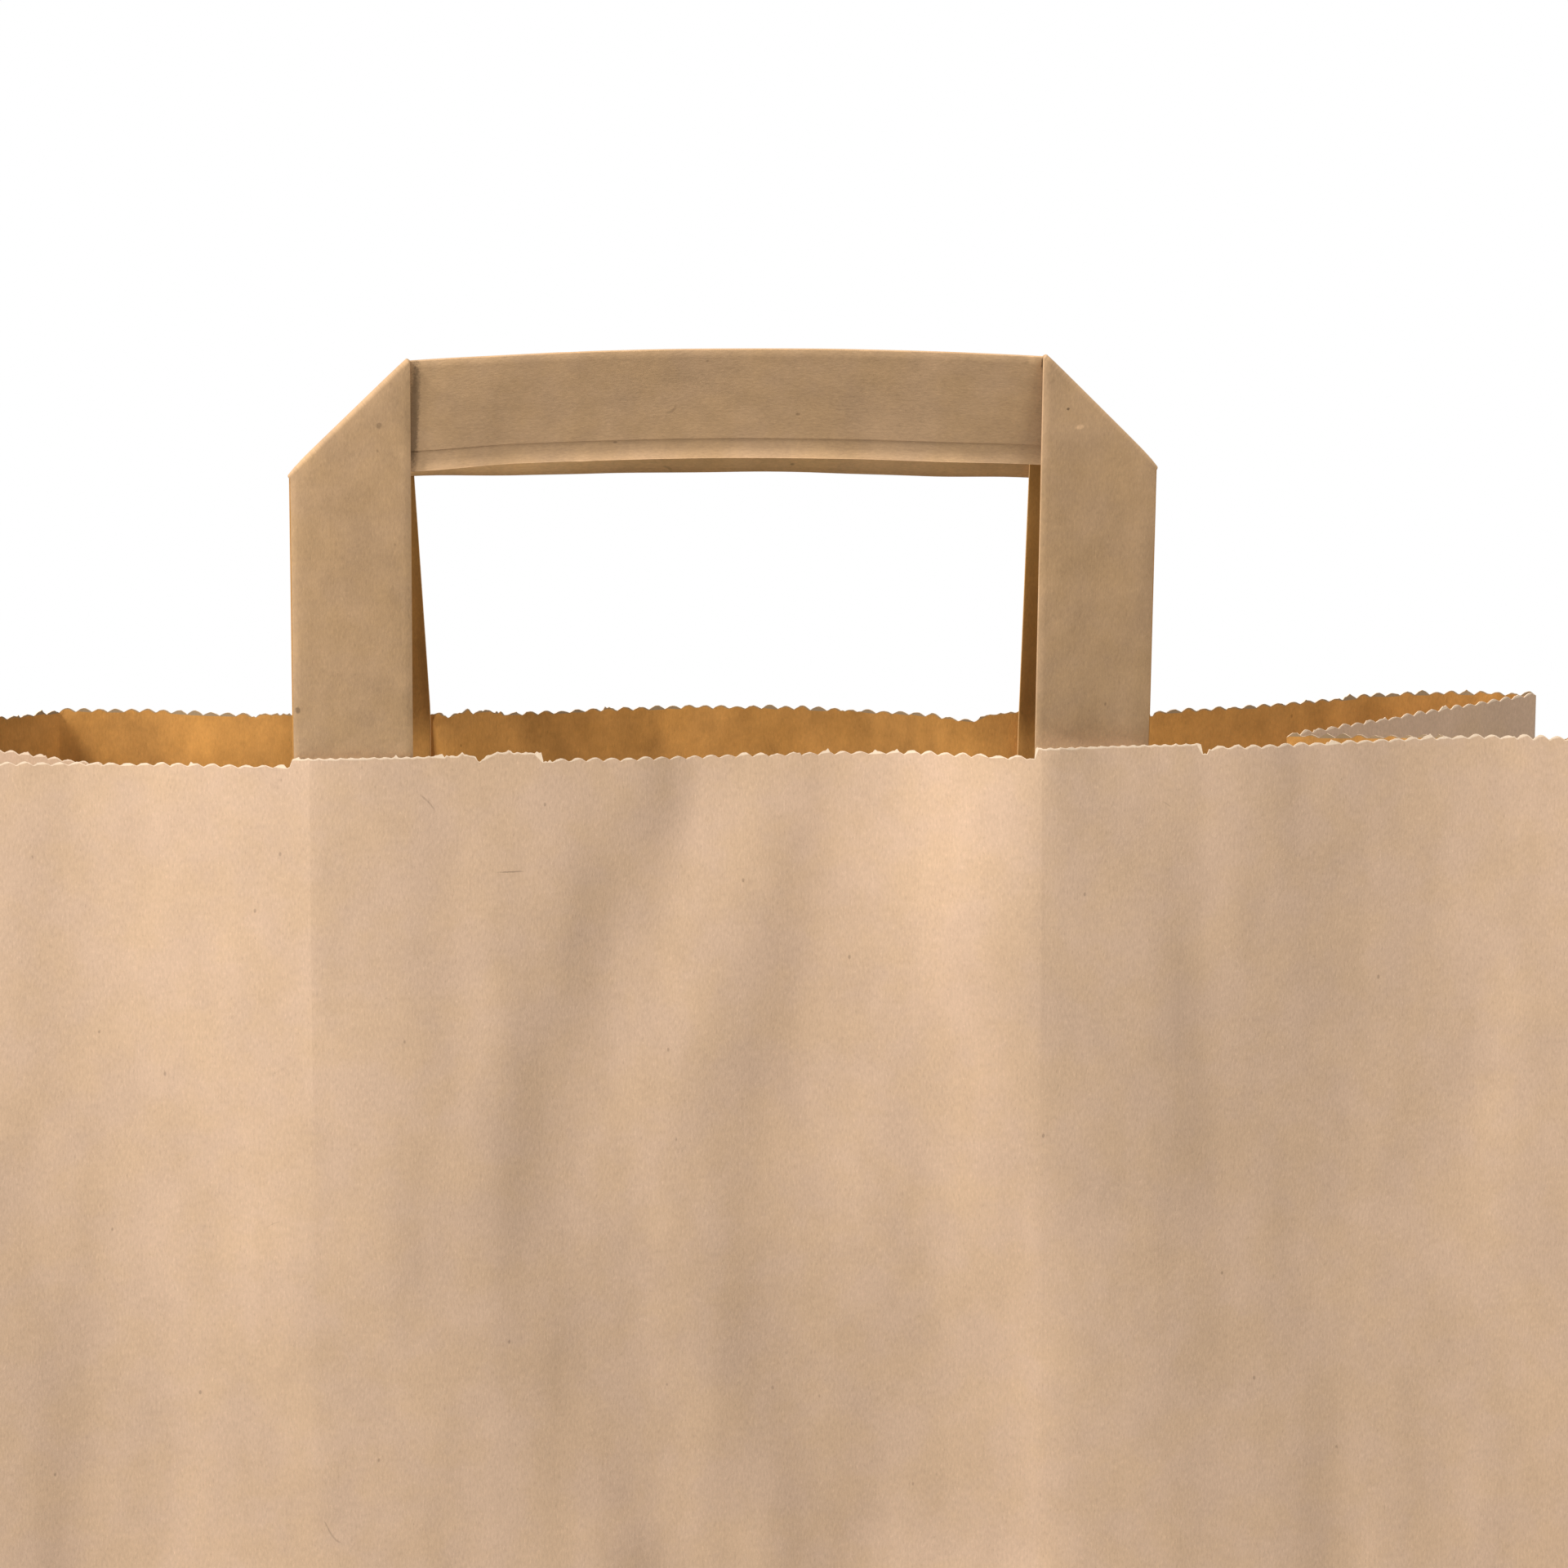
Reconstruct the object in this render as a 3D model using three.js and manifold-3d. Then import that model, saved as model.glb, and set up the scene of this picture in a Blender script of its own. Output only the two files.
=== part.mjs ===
// A kraft paper carrier bag: gusseted tube, block bottom, saw-tooth mouth and two flat paper handles.
// Millimetres, +Z up, front panel towards -Y, origin under the middle of the base.

import * as THREE from 'three';
import { mergeVertices } from 'three/addons/utils/BufferGeometryUtils.js';
import Module from 'manifold-3d';

const wasm = await Module();
wasm.setup();

// Driving dimensions of the sheet
const BAG_WIDTH = 320;
const GUSSET_WIDTH = 120;
const BAG_HEIGHT = 399;
const PAPER = 0.15;
const BOTTOM_LAP = 25;
const BOTTOM_EDGE_INSET = 1;
const BOTTOM_TUCK = 2;

// The open mouth: where the rim of each panel stands at the handle legs, and its waves
const FRONT_RIM_Y = -32.8;
const BACK_RIM_Y = 16.5;
const FRONT_RIM_CHORD = 0.992;
const BACK_RIM_CHORD = 0.98;
const FRONT_SWELL = { centre: 6, rise: 8.2 };
const FRONT_RIGHT_SHOULDER = { run: 64, rise: 11 };
const FRONT_LEFT_SHOULDER = { run: 78, rise: 5 };
const BACK_SWELL = { centre: 0, rise: 11.5 };
const BACK_RIGHT_SHOULDER = { run: 69, rise: 27 };
const BACK_LEFT_SHOULDER = { run: 35, rise: 9 };
const BACK_RIM_SKEW = 0.064;
const LEG_FLAT_MARGIN = 2.5;
const SEAM_FROM_CORNER = 40;
const SEAM_BEND = THREE.MathUtils.degToRad(42);

// The cut edge: teeth all round, and a raised straight cut beside each handle leg
const TOOTH_PITCH = 3;
const TOOTH_DEPTH = 1;
const RIM_BAND = 4;
const SLIT_RISE = 1.3;
const SLIT_STEP = 0.4;
const FRONT_SLITS = [[-76, -33], [53, 84]];
const BACK_SLITS = [[-84, -38], [50, 82]];

// The handles and the strips over their ends
const STRAP_WIDTH = 20.8;
const STRAP_THICKNESS = 0.8;
const HANDLE_SPAN = 150.4;
const HANDLE_RISE = 70.6;
const BEND_RISE = 1.8;
const GLUED_LENGTH = 45;
const BAR_BOW = 1.2;
const BACK_HANDLE_SHIFT = 3;
const FRONT_HANDLE_LEAN = THREE.MathUtils.degToRad(-9.5);
const BACK_HANDLE_LEAN = THREE.MathUtils.degToRad(26);
const GLUE_GAP = 0.3;
const FOLD_OVERLAP = 0.05;
const PATCH_LENGTH = 172;
const PATCH_HEIGHT = 50;
const PATCH_DROP = 8;
const PATCH_DRAPE = 5;
const PATCH_EASE = 1;

// Colours of the papers
const BAG_COLOUR = 0xcfae90;
const HANDLE_COLOUR = 0xb08c66;

// Fineness of the facets
const PANEL_COLUMNS = 64;
const GUSSET_COLUMNS = 3;
const UPPER_ROWS = 4;
const BAR_FACETS = 10;
const PROBE = 0.05;

const HALF_WIDTH = BAG_WIDTH / 2;
const HALF_GUSSET = GUSSET_WIDTH / 2;
const FLOOR_Z = 2 * PAPER;
const LEG_OUTER = HANDLE_SPAN / 2;
const LEG_INNER = LEG_OUTER - STRAP_WIDTH;
const LEG_FLAT = LEG_OUTER + LEG_FLAT_MARGIN;
const PERIMETER = 2 * (BAG_WIDTH + GUSSET_WIDTH);

// Waves of the rim, which leave the paper flat behind each leg of the handle
function smooth(t) {
  const k = THREE.MathUtils.clamp(t, 0, 1);
  return k * k * (3 - 2 * k);
}

function swell(wave, u) {
  const reach = LEG_INNER - Math.abs(wave.centre);
  const t = Math.min(Math.abs(u - wave.centre) / reach, 1);
  return wave.rise * 0.5 * (1 + Math.cos(Math.PI * t));
}

function shoulder(wave, outwards) {
  return wave.rise * smooth((outwards - LEG_FLAT) / wave.run);
}

function frontRim(u) {
  const ends = shoulder(FRONT_RIGHT_SHOULDER, u) + shoulder(FRONT_LEFT_SHOULDER, -u);
  const y = FRONT_RIM_Y + swell(FRONT_SWELL, u) + ends;
  return new THREE.Vector3(u * FRONT_RIM_CHORD, y, BAG_HEIGHT);
}

function backRim(u) {
  const seam = SEAM_FROM_CORNER - HALF_WIDTH;
  const flat = Math.max(u, seam);
  const past = Math.min(u - seam, 0);
  const fromHandle = flat - BACK_HANDLE_SHIFT;
  const ends = shoulder(BACK_RIGHT_SHOULDER, fromHandle) + shoulder(BACK_LEFT_SHOULDER, -fromHandle);
  const y = BACK_RIM_Y - BACK_RIM_SKEW * fromHandle + swell(BACK_SWELL, fromHandle) + ends;
  const x = flat * BACK_RIM_CHORD + past * Math.cos(SEAM_BEND);
  return new THREE.Vector3(x, y + past * Math.sin(SEAM_BEND), BAG_HEIGHT);
}

// Points of the folded sheet: u runs along a panel from left to right, v up from the base
const FRONT = { baseY: -HALF_GUSSET, rim: frontRim, chord: FRONT_RIM_CHORD, inward: 1 };
const BACK = { baseY: HALF_GUSSET, rim: backRim, chord: BACK_RIM_CHORD, inward: -1 };

function panelPoint(panel, u, v) {
  const base = new THREE.Vector3(u, panel.baseY, 0);
  return base.lerp(panel.rim(u), v / BAG_HEIGHT).add(new THREE.Vector3(0, 0, FLOOR_Z));
}

// The centre fold of a gusset: up to the apex of the bottom triangle, then on to the mouth
function gussetSpine(side) {
  const inwardAt = (v) => {
    const front = panelPoint(FRONT, side * HALF_WIDTH, v);
    const back = panelPoint(BACK, side * HALF_WIDTH, v);
    const half = Math.min(front.distanceTo(back) / 2, HALF_GUSSET);
    const middle = front.add(back).multiplyScalar(0.5);
    return { middle, inward: Math.sqrt(HALF_GUSSET ** 2 - half ** 2) };
  };
  const base = new THREE.Vector3(side * HALF_WIDTH, 0, FLOOR_Z);
  const low = inwardAt(HALF_GUSSET);
  const apexZ = FLOOR_Z + Math.sqrt(HALF_GUSSET ** 2 - low.inward ** 2);
  const apex = new THREE.Vector3(low.middle.x - side * low.inward, low.middle.y, apexZ);
  const high = inwardAt(BAG_HEIGHT);
  const top = new THREE.Vector3(high.middle.x - side * high.inward, high.middle.y, apexZ);
  const run = top.distanceTo(apex);
  top.z += Math.sqrt((BAG_HEIGHT - HALF_GUSSET) ** 2 - run ** 2);
  return { base, apex, top };
}

const SPINES = { right: gussetSpine(1), left: gussetSpine(-1) };

function spinePoint(spine, v) {
  if (v <= HALF_GUSSET) {
    return spine.base.clone().lerp(spine.apex, v / HALF_GUSSET);
  }
  const share = (v - HALF_GUSSET) / (BAG_HEIGHT - HALF_GUSSET);
  return spine.apex.clone().lerp(spine.top, share);
}

// w runs across a gusset from its front corner to its back corner
function gussetPoint(side, w, v) {
  const panel = w < HALF_GUSSET ? FRONT : BACK;
  const corner = panelPoint(panel, side * HALF_WIDTH, v);
  const middle = spinePoint(side > 0 ? SPINES.right : SPINES.left, v);
  const across = Math.abs(w - HALF_GUSSET);
  const crease = Math.max(HALF_GUSSET - v, 0);
  const onTriangle = middle.clone();
  onTriangle.y -= panel.inward * Math.min(across, crease);
  if (across <= crease) {
    return onTriangle;
  }
  return onTriangle.lerp(corner, (across - crease) / (HALF_GUSSET - crease));
}

// s runs once round the tube: front panel, right gusset, back panel, left gusset
function tubePoint(round, v) {
  const s = (round + PERIMETER) % PERIMETER;
  if (s <= BAG_WIDTH) {
    return panelPoint(FRONT, s - HALF_WIDTH, v);
  }
  if (s < BAG_WIDTH + GUSSET_WIDTH) {
    return gussetPoint(1, s - BAG_WIDTH, v);
  }
  if (s <= 2 * BAG_WIDTH + GUSSET_WIDTH) {
    return panelPoint(BACK, HALF_WIDTH + BAG_WIDTH + GUSSET_WIDTH - s, v);
  }
  return gussetPoint(-1, PERIMETER - s, v);
}

function tubeNormal(s, v) {
  const along = tubePoint(s + PROBE, v).sub(tubePoint(s - PROBE, v));
  const up = tubePoint(s, v + PROBE).sub(tubePoint(s, v - PROBE));
  return along.cross(up).normalize();
}

// A point moved off the middle of the sheet, mitred where the sheet is folded
function tubeOffset(s, v, distance) {
  const before = tubeNormal(s - 2 * PROBE, v);
  const after = tubeNormal(s + 2 * PROBE, v);
  const mitre = distance / (1 + before.dot(after));
  return tubePoint(s, v).addScaledVector(before.add(after), mitre);
}

// A growing list of points and triangles
class Surface {
  constructor() {
    this.points = [];
    this.faces = [];
  }

  point(p) {
    this.points.push(p.x, p.y, p.z);
    return this.points.length / 3 - 1;
  }

  triangle(a, b, c) {
    this.faces.push(a, b, c);
  }

  quad(a, b, c, d) {
    this.triangle(a, b, c);
    this.triangle(a, c, d);
  }

  geometry() {
    const made = new THREE.BufferGeometry();
    made.setAttribute('position', new THREE.Float32BufferAttribute(this.points, 3));
    made.setIndex(this.faces);
    return made;
  }
}

function toSolid(geometry) {
  const bare = geometry.clone();
  bare.deleteAttribute('normal');
  bare.deleteAttribute('uv');
  const merged = mergeVertices(bare, 1e-3);
  const mesh = new wasm.Mesh({
    numProp: 3,
    vertProperties: new Float32Array(merged.attributes.position.array),
    triVerts: new Uint32Array(merged.index.array),
  });
  return new wasm.Manifold(mesh);
}

function fromSolid(solid) {
  const mesh = solid.getMesh();
  const made = new THREE.BufferGeometry();
  made.setAttribute('position', new THREE.Float32BufferAttribute(mesh.vertProperties, 3));
  made.setIndex(Array.from(mesh.triVerts));
  return made;
}

function plate(corners, low, high) {
  const shape = new THREE.Shape(corners.map(([x, y]) => new THREE.Vector2(x, y)));
  const made = new THREE.ExtrudeGeometry(shape, { depth: high - low, bevelEnabled: false });
  return made.translate(0, 0, low);
}

// The columns and rows of the tube
function columnList() {
  const list = [];
  const stretch = (start, length, count, lean) => {
    for (let i = 0; i < count; i += 1) {
      list.push({ s: start + (length * i) / count, lean });
    }
  };
  for (const start of [0, BAG_WIDTH + GUSSET_WIDTH]) {
    stretch(start, BAG_WIDTH, PANEL_COLUMNS, 1);
    stretch(start + BAG_WIDTH, HALF_GUSSET, GUSSET_COLUMNS, 1);
    stretch(start + BAG_WIDTH + HALF_GUSSET, HALF_GUSSET, GUSSET_COLUMNS, -1);
  }
  return list;
}

function rowList() {
  const list = [];
  for (let i = 0; i < GUSSET_COLUMNS; i += 1) {
    list.push((HALF_GUSSET * i) / GUSSET_COLUMNS);
  }
  const top = BAG_HEIGHT - RIM_BAND;
  for (let i = 0; i <= UPPER_ROWS; i += 1) {
    list.push(HALF_GUSSET + ((top - HALF_GUSSET) * i) / UPPER_ROWS);
  }
  return list;
}

// The cut edge as a list of places s and heights v, from one fold of the tube to the next
function toothEdge(start, length, slits) {
  const count = Math.round(length / TOOTH_PITCH);
  const pitch = length / count;
  const edge = [];
  for (const [from, to] of slits) {
    edge.push({ s: from - SLIT_STEP, v: BAG_HEIGHT - TOOTH_DEPTH });
    edge.push({ s: from, v: BAG_HEIGHT + SLIT_RISE });
    edge.push({ s: to, v: BAG_HEIGHT + SLIT_RISE });
    edge.push({ s: to + SLIT_STEP, v: BAG_HEIGHT - TOOTH_DEPTH });
  }
  const cuts = edge.map(({ s }) => s);
  for (let i = 0; i < 2 * count; i += 1) {
    const s = start + (i * pitch) / 2;
    const raised = slits.some(([from, to]) => s > from && s < to);
    const tooth = i % 2 === 0 ? -TOOTH_DEPTH / 2 : TOOTH_DEPTH / 2;
    if (cuts.every((cut) => Math.abs(cut - s) > SLIT_STEP)) {
      edge.push({ s, v: BAG_HEIGHT + (raised ? SLIT_RISE : tooth) });
    }
  }
  return edge.sort((a, b) => a.s - b.s);
}

function wholeEdge() {
  const backStart = BAG_WIDTH + GUSSET_WIDTH;
  const backMiddle = backStart + HALF_WIDTH;
  const onFront = FRONT_SLITS.map(([from, to]) => [HALF_WIDTH + from, HALF_WIDTH + to]);
  const onBack = BACK_SLITS.map(([from, to]) => [backMiddle - to, backMiddle - from]);
  return [
    ...toothEdge(0, BAG_WIDTH, onFront),
    ...toothEdge(BAG_WIDTH, HALF_GUSSET, []),
    ...toothEdge(BAG_WIDTH + HALF_GUSSET, HALF_GUSSET, []),
    ...toothEdge(backStart, BAG_WIDTH, onBack),
    ...toothEdge(backStart + BAG_WIDTH, HALF_GUSSET, []),
    ...toothEdge(backStart + BAG_WIDTH + HALF_GUSSET, HALF_GUSSET, []),
  ];
}

// Joins a row of the tube to the cut edge above it, whichever of the two steps first
function stitch(surface, low, lowPlaces, high, highPlaces, outward) {
  let i = 0;
  let j = 0;
  const face = (a, b, c) => (outward ? surface.triangle(a, b, c) : surface.triangle(c, b, a));
  while (i < low.length || j < high.length) {
    const nextLow = i + 1 < low.length ? lowPlaces[i + 1] : PERIMETER;
    const nextHigh = j + 1 < high.length ? highPlaces[j + 1] : PERIMETER;
    const a = low[i % low.length];
    const b = high[j % high.length];
    if (j === high.length || (i < low.length && nextLow <= nextHigh)) {
      face(a, low[(i + 1) % low.length], b);
      i += 1;
    } else {
      face(a, high[(j + 1) % high.length], b);
      j += 1;
    }
  }
}

// One side of the sheet, from its level lowest row to the cut edge
function tubeSide(surface, columns, rows, edge, distance) {
  const outward = distance > 0;
  const grid = rows.map((v, j) => columns.map(({ s }) => {
    const place = tubeOffset(s, v, distance);
    return surface.point(j > 0 ? place : place.setZ(FLOOR_Z + v));
  }));
  for (let j = 0; j + 1 < rows.length; j += 1) {
    for (let i = 0; i < columns.length; i += 1) {
      const next = (i + 1) % columns.length;
      const [a, b, c, d] = [grid[j][i], grid[j][next], grid[j + 1][next], grid[j + 1][i]];
      const corners = columns[i].lean > 0 ? [a, b, c, d] : [b, c, d, a];
      const [first, ...rest] = corners;
      surface.quad(first, ...(outward ? rest : rest.reverse()));
    }
  }
  const rim = edge.map(({ s, v }) => surface.point(tubeOffset(s, v, distance)));
  const top = grid[grid.length - 1];
  const places = columns.map(({ s }) => s);
  stitch(surface, top, places, rim, edge.map(({ s }) => s), outward);
  return { bottom: grid[0], rim };
}

// The flat floor between the front row, the back row and the two ends
function floor(surface, ring, upward) {
  const n = ring.length;
  const end = 2 * GUSSET_COLUMNS;
  const face = (a, b, c) => {
    if (upward) {
      surface.triangle(ring[a % n], ring[b % n], ring[c % n]);
    } else {
      surface.triangle(ring[c % n], ring[b % n], ring[a % n]);
    }
  };
  const back = (i) => 2 * PANEL_COLUMNS + end - i;
  for (let i = 1; i + 2 < PANEL_COLUMNS + 1; i += 1) {
    face(i, i + 1, back(i + 1));
    face(i, back(i + 1), back(i));
  }
  const last = PANEL_COLUMNS - 1;
  for (let k = 0; k < end; k += 1) {
    face(last, PANEL_COLUMNS + k, PANEL_COLUMNS + k + 1);
    face(back(1), back(0) + k, back(0) + k + 1);
  }
  face(last, back(PANEL_COLUMNS), back(last));
  face(back(1), n, 1);
}

function makeTube() {
  const surface = new Surface();
  const columns = columnList();
  const rows = rowList();
  const edge = wholeEdge();
  const outer = tubeSide(surface, columns, rows, edge, PAPER / 2);
  const inner = tubeSide(surface, columns, [PAPER, ...rows.slice(1)], edge, -PAPER / 2);
  for (let i = 0; i < edge.length; i += 1) {
    const next = (i + 1) % edge.length;
    surface.quad(outer.rim[i], outer.rim[next], inner.rim[next], inner.rim[i]);
  }
  floor(surface, outer.bottom, false);
  floor(surface, inner.bottom, true);
  return surface.geometry();
}

// The block bottom: two flaps with 45 degree ends, the back one lapped under the front one
function flapOutline(fromEdge, toEdge) {
  const reach = HALF_WIDTH - BOTTOM_EDGE_INSET;
  return [
    [-(reach - fromEdge), -HALF_GUSSET + fromEdge],
    [reach - fromEdge, -HALF_GUSSET + fromEdge],
    [reach - toEdge, -HALF_GUSSET + toEdge],
    [-(reach - toEdge), -HALF_GUSSET + toEdge],
  ];
}

function makeFlaps() {
  const lapEnd = HALF_GUSSET + BOTTOM_LAP / 2;
  const lapStart = HALF_GUSSET - BOTTOM_LAP / 2;
  const upper = FLOOR_Z + PAPER / 2;
  const front = plate(flapOutline(BOTTOM_EDGE_INSET, lapEnd), PAPER, upper);
  const back = plate(flapOutline(BOTTOM_EDGE_INSET, lapStart - PAPER), PAPER, upper);
  const lap = plate(flapOutline(lapStart - BOTTOM_TUCK, lapEnd), 0, PAPER * 1.3);
  back.rotateZ(Math.PI);
  lap.rotateZ(Math.PI);
  return [front, back, lap];
}

function makeBody() {
  return fromSolid(wasm.Manifold.union([makeTube(), ...makeFlaps()].map(toSolid)));
}

// A place on the inner side of a panel's facets
function facetPoint(panel, u, v) {
  const step = BAG_WIDTH / PANEL_COLUMNS;
  const start = Math.floor((u + HALF_WIDTH) / step) * step - HALF_WIDTH;
  return panelPoint(panel, start, v).lerp(panelPoint(panel, start + step, v), (u - start) / step);
}

function insidePoint(panel, u, v, distance) {
  const along = facetPoint(panel, u + PROBE, v).sub(facetPoint(panel, u - PROBE, v));
  const up = facetPoint(panel, u, v + PROBE).sub(facetPoint(panel, u, v - PROBE));
  const inward = along.cross(up).normalize().multiplyScalar(-panel.inward);
  return facetPoint(panel, u, v).addScaledVector(inward, PAPER / 2 + distance);
}

// A leg of a handle: glued to the panel below y = 0, free above it up to the slanted fold
function makeLeg(place, side) {
  const surface = new Surface();
  const half = STRAP_THICKNESS / 2;
  const heights = [[-GLUED_LENGTH, -GLUED_LENGTH], [0, 0], [HANDLE_RISE - STRAP_WIDTH, HANDLE_RISE]];
  const rings = heights.map(([outer, inner]) => [
    surface.point(place(side * LEG_OUTER, outer, -half)),
    surface.point(place(side * LEG_INNER, inner, -half)),
    surface.point(place(side * LEG_INNER, inner, half)),
    surface.point(place(side * LEG_OUTER, outer, half)),
  ]);
  const face = (corners) => surface.quad(...(side > 0 ? corners : corners.reverse()));
  for (let j = 0; j + 1 < rings.length; j += 1) {
    for (let k = 0; k < 4; k += 1) {
      const next = (k + 1) % 4;
      face([rings[j][k], rings[j][next], rings[j + 1][next], rings[j + 1][k]]);
    }
  }
  face([...rings[0]].reverse());
  face([...rings[rings.length - 1]]);
  return surface.geometry();
}

// The bar of a handle, a little bowed, lying on the inner side of both folds
function makeBar(place) {
  const outline = [];
  for (const [reach, low] of [[LEG_OUTER, HANDLE_RISE - STRAP_WIDTH], [-LEG_INNER, HANDLE_RISE]]) {
    for (let i = 0; i <= BAR_FACETS; i += 1) {
      const t = (2 * i) / BAR_FACETS - 1;
      outline.push([reach * t, low + BAR_BOW * (1 - t * t)]);
    }
  }
  const behind = STRAP_THICKNESS / 2 - FOLD_OVERLAP;
  const bar = plate(outline, behind, behind + STRAP_THICKNESS);
  const spots = bar.attributes.position;
  for (let i = 0; i < spots.count; i += 1) {
    spots.setXYZ(i, ...place(spots.getX(i), spots.getY(i), spots.getZ(i)).toArray());
  }
  return bar;
}

// A handle on a panel: x across, y up from the bend where the strap leaves the panel, z inwards
function makeHandle(panel, shift, lean) {
  const mid = GLUE_GAP + STRAP_THICKNESS / 2;
  const onPanel = (x, y, z) => insidePoint(panel, x / panel.chord, BAG_HEIGHT + BEND_RISE + y, mid + z);
  const left = onPanel(shift - LEG_OUTER, 0, 0);
  const right = onPanel(shift + LEG_OUTER, 0, 0);
  const along = right.clone().sub(left).normalize();
  const level = new THREE.Vector3(-along.y, along.x, 0).multiplyScalar(panel.inward);
  const up = level.clone().multiplyScalar(Math.sin(lean));
  up.z = Math.cos(lean);
  const inward = level.clone().multiplyScalar(Math.cos(lean));
  inward.z = -Math.sin(lean);
  const place = (x, y, z) => {
    const across = -panel.inward * x;
    if (y <= 0) {
      return onPanel(shift + across, y, z);
    }
    const point = left.clone().lerp(right, (across + LEG_OUTER) / HANDLE_SPAN);
    return point.addScaledVector(up, y).addScaledVector(inward, z);
  };
  const pieces = [makeLeg(place, -1), makeLeg(place, 1), makeBar(place)];
  return fromSolid(wasm.Manifold.union(pieces.map(toSolid)));
}

// The strip glued over the leg ends: flat on the panel, draped over each strap
function patchLift(x, v) {
  const leg = (LEG_OUTER + LEG_INNER) / 2;
  const beside = Math.abs(Math.abs(x) - leg) - STRAP_WIDTH / 2 - PATCH_EASE;
  const below = BAG_HEIGHT - GLUED_LENGTH - PATCH_EASE - v;
  const away = Math.max(beside, below, 0);
  const over = 1 - Math.min(away / PATCH_DRAPE, 1);
  return GLUE_GAP + over * (STRAP_THICKNESS + GLUE_GAP);
}

// The strip's columns: its ends, its drapes, and the panel's own columns between them
function patchColumns(panel, shift) {
  const marks = [PATCH_LENGTH / 2];
  for (const edge of [LEG_INNER - PATCH_EASE, LEG_OUTER + PATCH_EASE]) {
    marks.push(edge, edge + (edge < LEG_OUTER ? -PATCH_DRAPE : PATCH_DRAPE));
  }
  const list = marks.flatMap((x) => [shift - x, shift + x]).map((x) => x / panel.chord);
  const far = Math.max(...list);
  const near = Math.min(...list);
  for (let i = 0; i <= PANEL_COLUMNS; i += 1) {
    const u = (BAG_WIDTH * i) / PANEL_COLUMNS - HALF_WIDTH;
    if (u > near && u < far && list.every((other) => Math.abs(other - u) > PATCH_EASE / 2)) {
      list.push(u);
    }
  }
  return list.sort((first, second) => first - second);
}

function makePatch(panel, shift) {
  const columns = patchColumns(panel, shift);
  const legEnd = BAG_HEIGHT - GLUED_LENGTH - PATCH_EASE;
  const top = BAG_HEIGHT - PATCH_DROP;
  const rows = [top - PATCH_HEIGHT, legEnd - PATCH_DRAPE, legEnd, top].sort((a, b) => a - b);
  const surface = new Surface();
  const layers = [0, PAPER].map((depth) => rows.map((v) => columns.map((u) => {
    const lift = patchLift(u * panel.chord - shift, v);
    return surface.point(insidePoint(panel, u, v, lift + depth));
  })));
  const face = (corners) => surface.quad(...(panel.inward > 0 ? corners : corners.reverse()));
  const [low, high] = layers;
  const lastRow = rows.length - 1;
  const lastColumn = columns.length - 1;
  for (let j = 0; j < lastRow; j += 1) {
    for (let i = 0; i < lastColumn; i += 1) {
      face([low[j][i], low[j][i + 1], low[j + 1][i + 1], low[j + 1][i]]);
      face([high[j][i], high[j + 1][i], high[j + 1][i + 1], high[j][i + 1]]);
    }
    face([low[j][0], low[j + 1][0], high[j + 1][0], high[j][0]]);
    face([low[j][lastColumn], high[j][lastColumn], high[j + 1][lastColumn], low[j + 1][lastColumn]]);
  }
  for (let i = 0; i < lastColumn; i += 1) {
    face([low[0][i], high[0][i], high[0][i + 1], low[0][i + 1]]);
    face([low[lastRow][i], low[lastRow][i + 1], high[lastRow][i + 1], high[lastRow][i]]);
  }
  return surface.geometry();
}

const bagPaper = new THREE.MeshStandardMaterial({ color: BAG_COLOUR, roughness: 0.85, metalness: 0 });
bagPaper.name = 'bag_paper';
const handlePaper = new THREE.MeshStandardMaterial({ color: HANDLE_COLOUR, roughness: 0.85, metalness: 0 });
handlePaper.name = 'handle_paper';

const group = new THREE.Group();
group.name = 'paper_carrier_bag';

function addPiece(name, geometry, material) {
  const mesh = new THREE.Mesh(geometry, material);
  mesh.name = name;
  group.add(mesh);
}

addPiece('bag_body', makeBody(), bagPaper);
addPiece('front_handle', makeHandle(FRONT, 0, FRONT_HANDLE_LEAN), handlePaper);
addPiece('back_handle', makeHandle(BACK, BACK_HANDLE_SHIFT, BACK_HANDLE_LEAN), handlePaper);
addPiece('front_patch', makePatch(FRONT, 0), handlePaper);
addPiece('back_patch', makePatch(BACK, BACK_HANDLE_SHIFT), handlePaper);

export default group;
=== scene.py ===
import math
from typing import NamedTuple

import bmesh
import bpy
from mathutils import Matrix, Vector, noise


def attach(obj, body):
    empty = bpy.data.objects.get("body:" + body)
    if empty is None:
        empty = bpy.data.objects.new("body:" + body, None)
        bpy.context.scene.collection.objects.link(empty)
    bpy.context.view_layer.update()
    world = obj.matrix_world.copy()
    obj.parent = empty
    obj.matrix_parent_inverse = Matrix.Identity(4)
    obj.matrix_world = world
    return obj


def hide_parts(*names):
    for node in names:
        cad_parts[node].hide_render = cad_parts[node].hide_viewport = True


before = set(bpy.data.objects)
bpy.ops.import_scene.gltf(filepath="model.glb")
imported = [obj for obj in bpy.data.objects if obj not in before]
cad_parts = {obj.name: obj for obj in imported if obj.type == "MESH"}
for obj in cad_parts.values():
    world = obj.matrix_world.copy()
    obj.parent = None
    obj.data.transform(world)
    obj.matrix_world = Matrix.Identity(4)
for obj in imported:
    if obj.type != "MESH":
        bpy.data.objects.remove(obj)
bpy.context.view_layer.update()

# Sizes of the folded sheet, in millimetres: s runs round the tube from the front left corner, u across a
# panel from its middle, w across a gusset from the front, and v up the sheet
MM = 0.001
BAG_WIDTH = 320.0
GUSSET = 120.0
BAG_HEIGHT = 399.0
PAPER = 0.2
FLOOR_Z = 0.3
HALF_WIDTH = BAG_WIDTH / 2
HALF_GUSSET = GUSSET / 2
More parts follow.
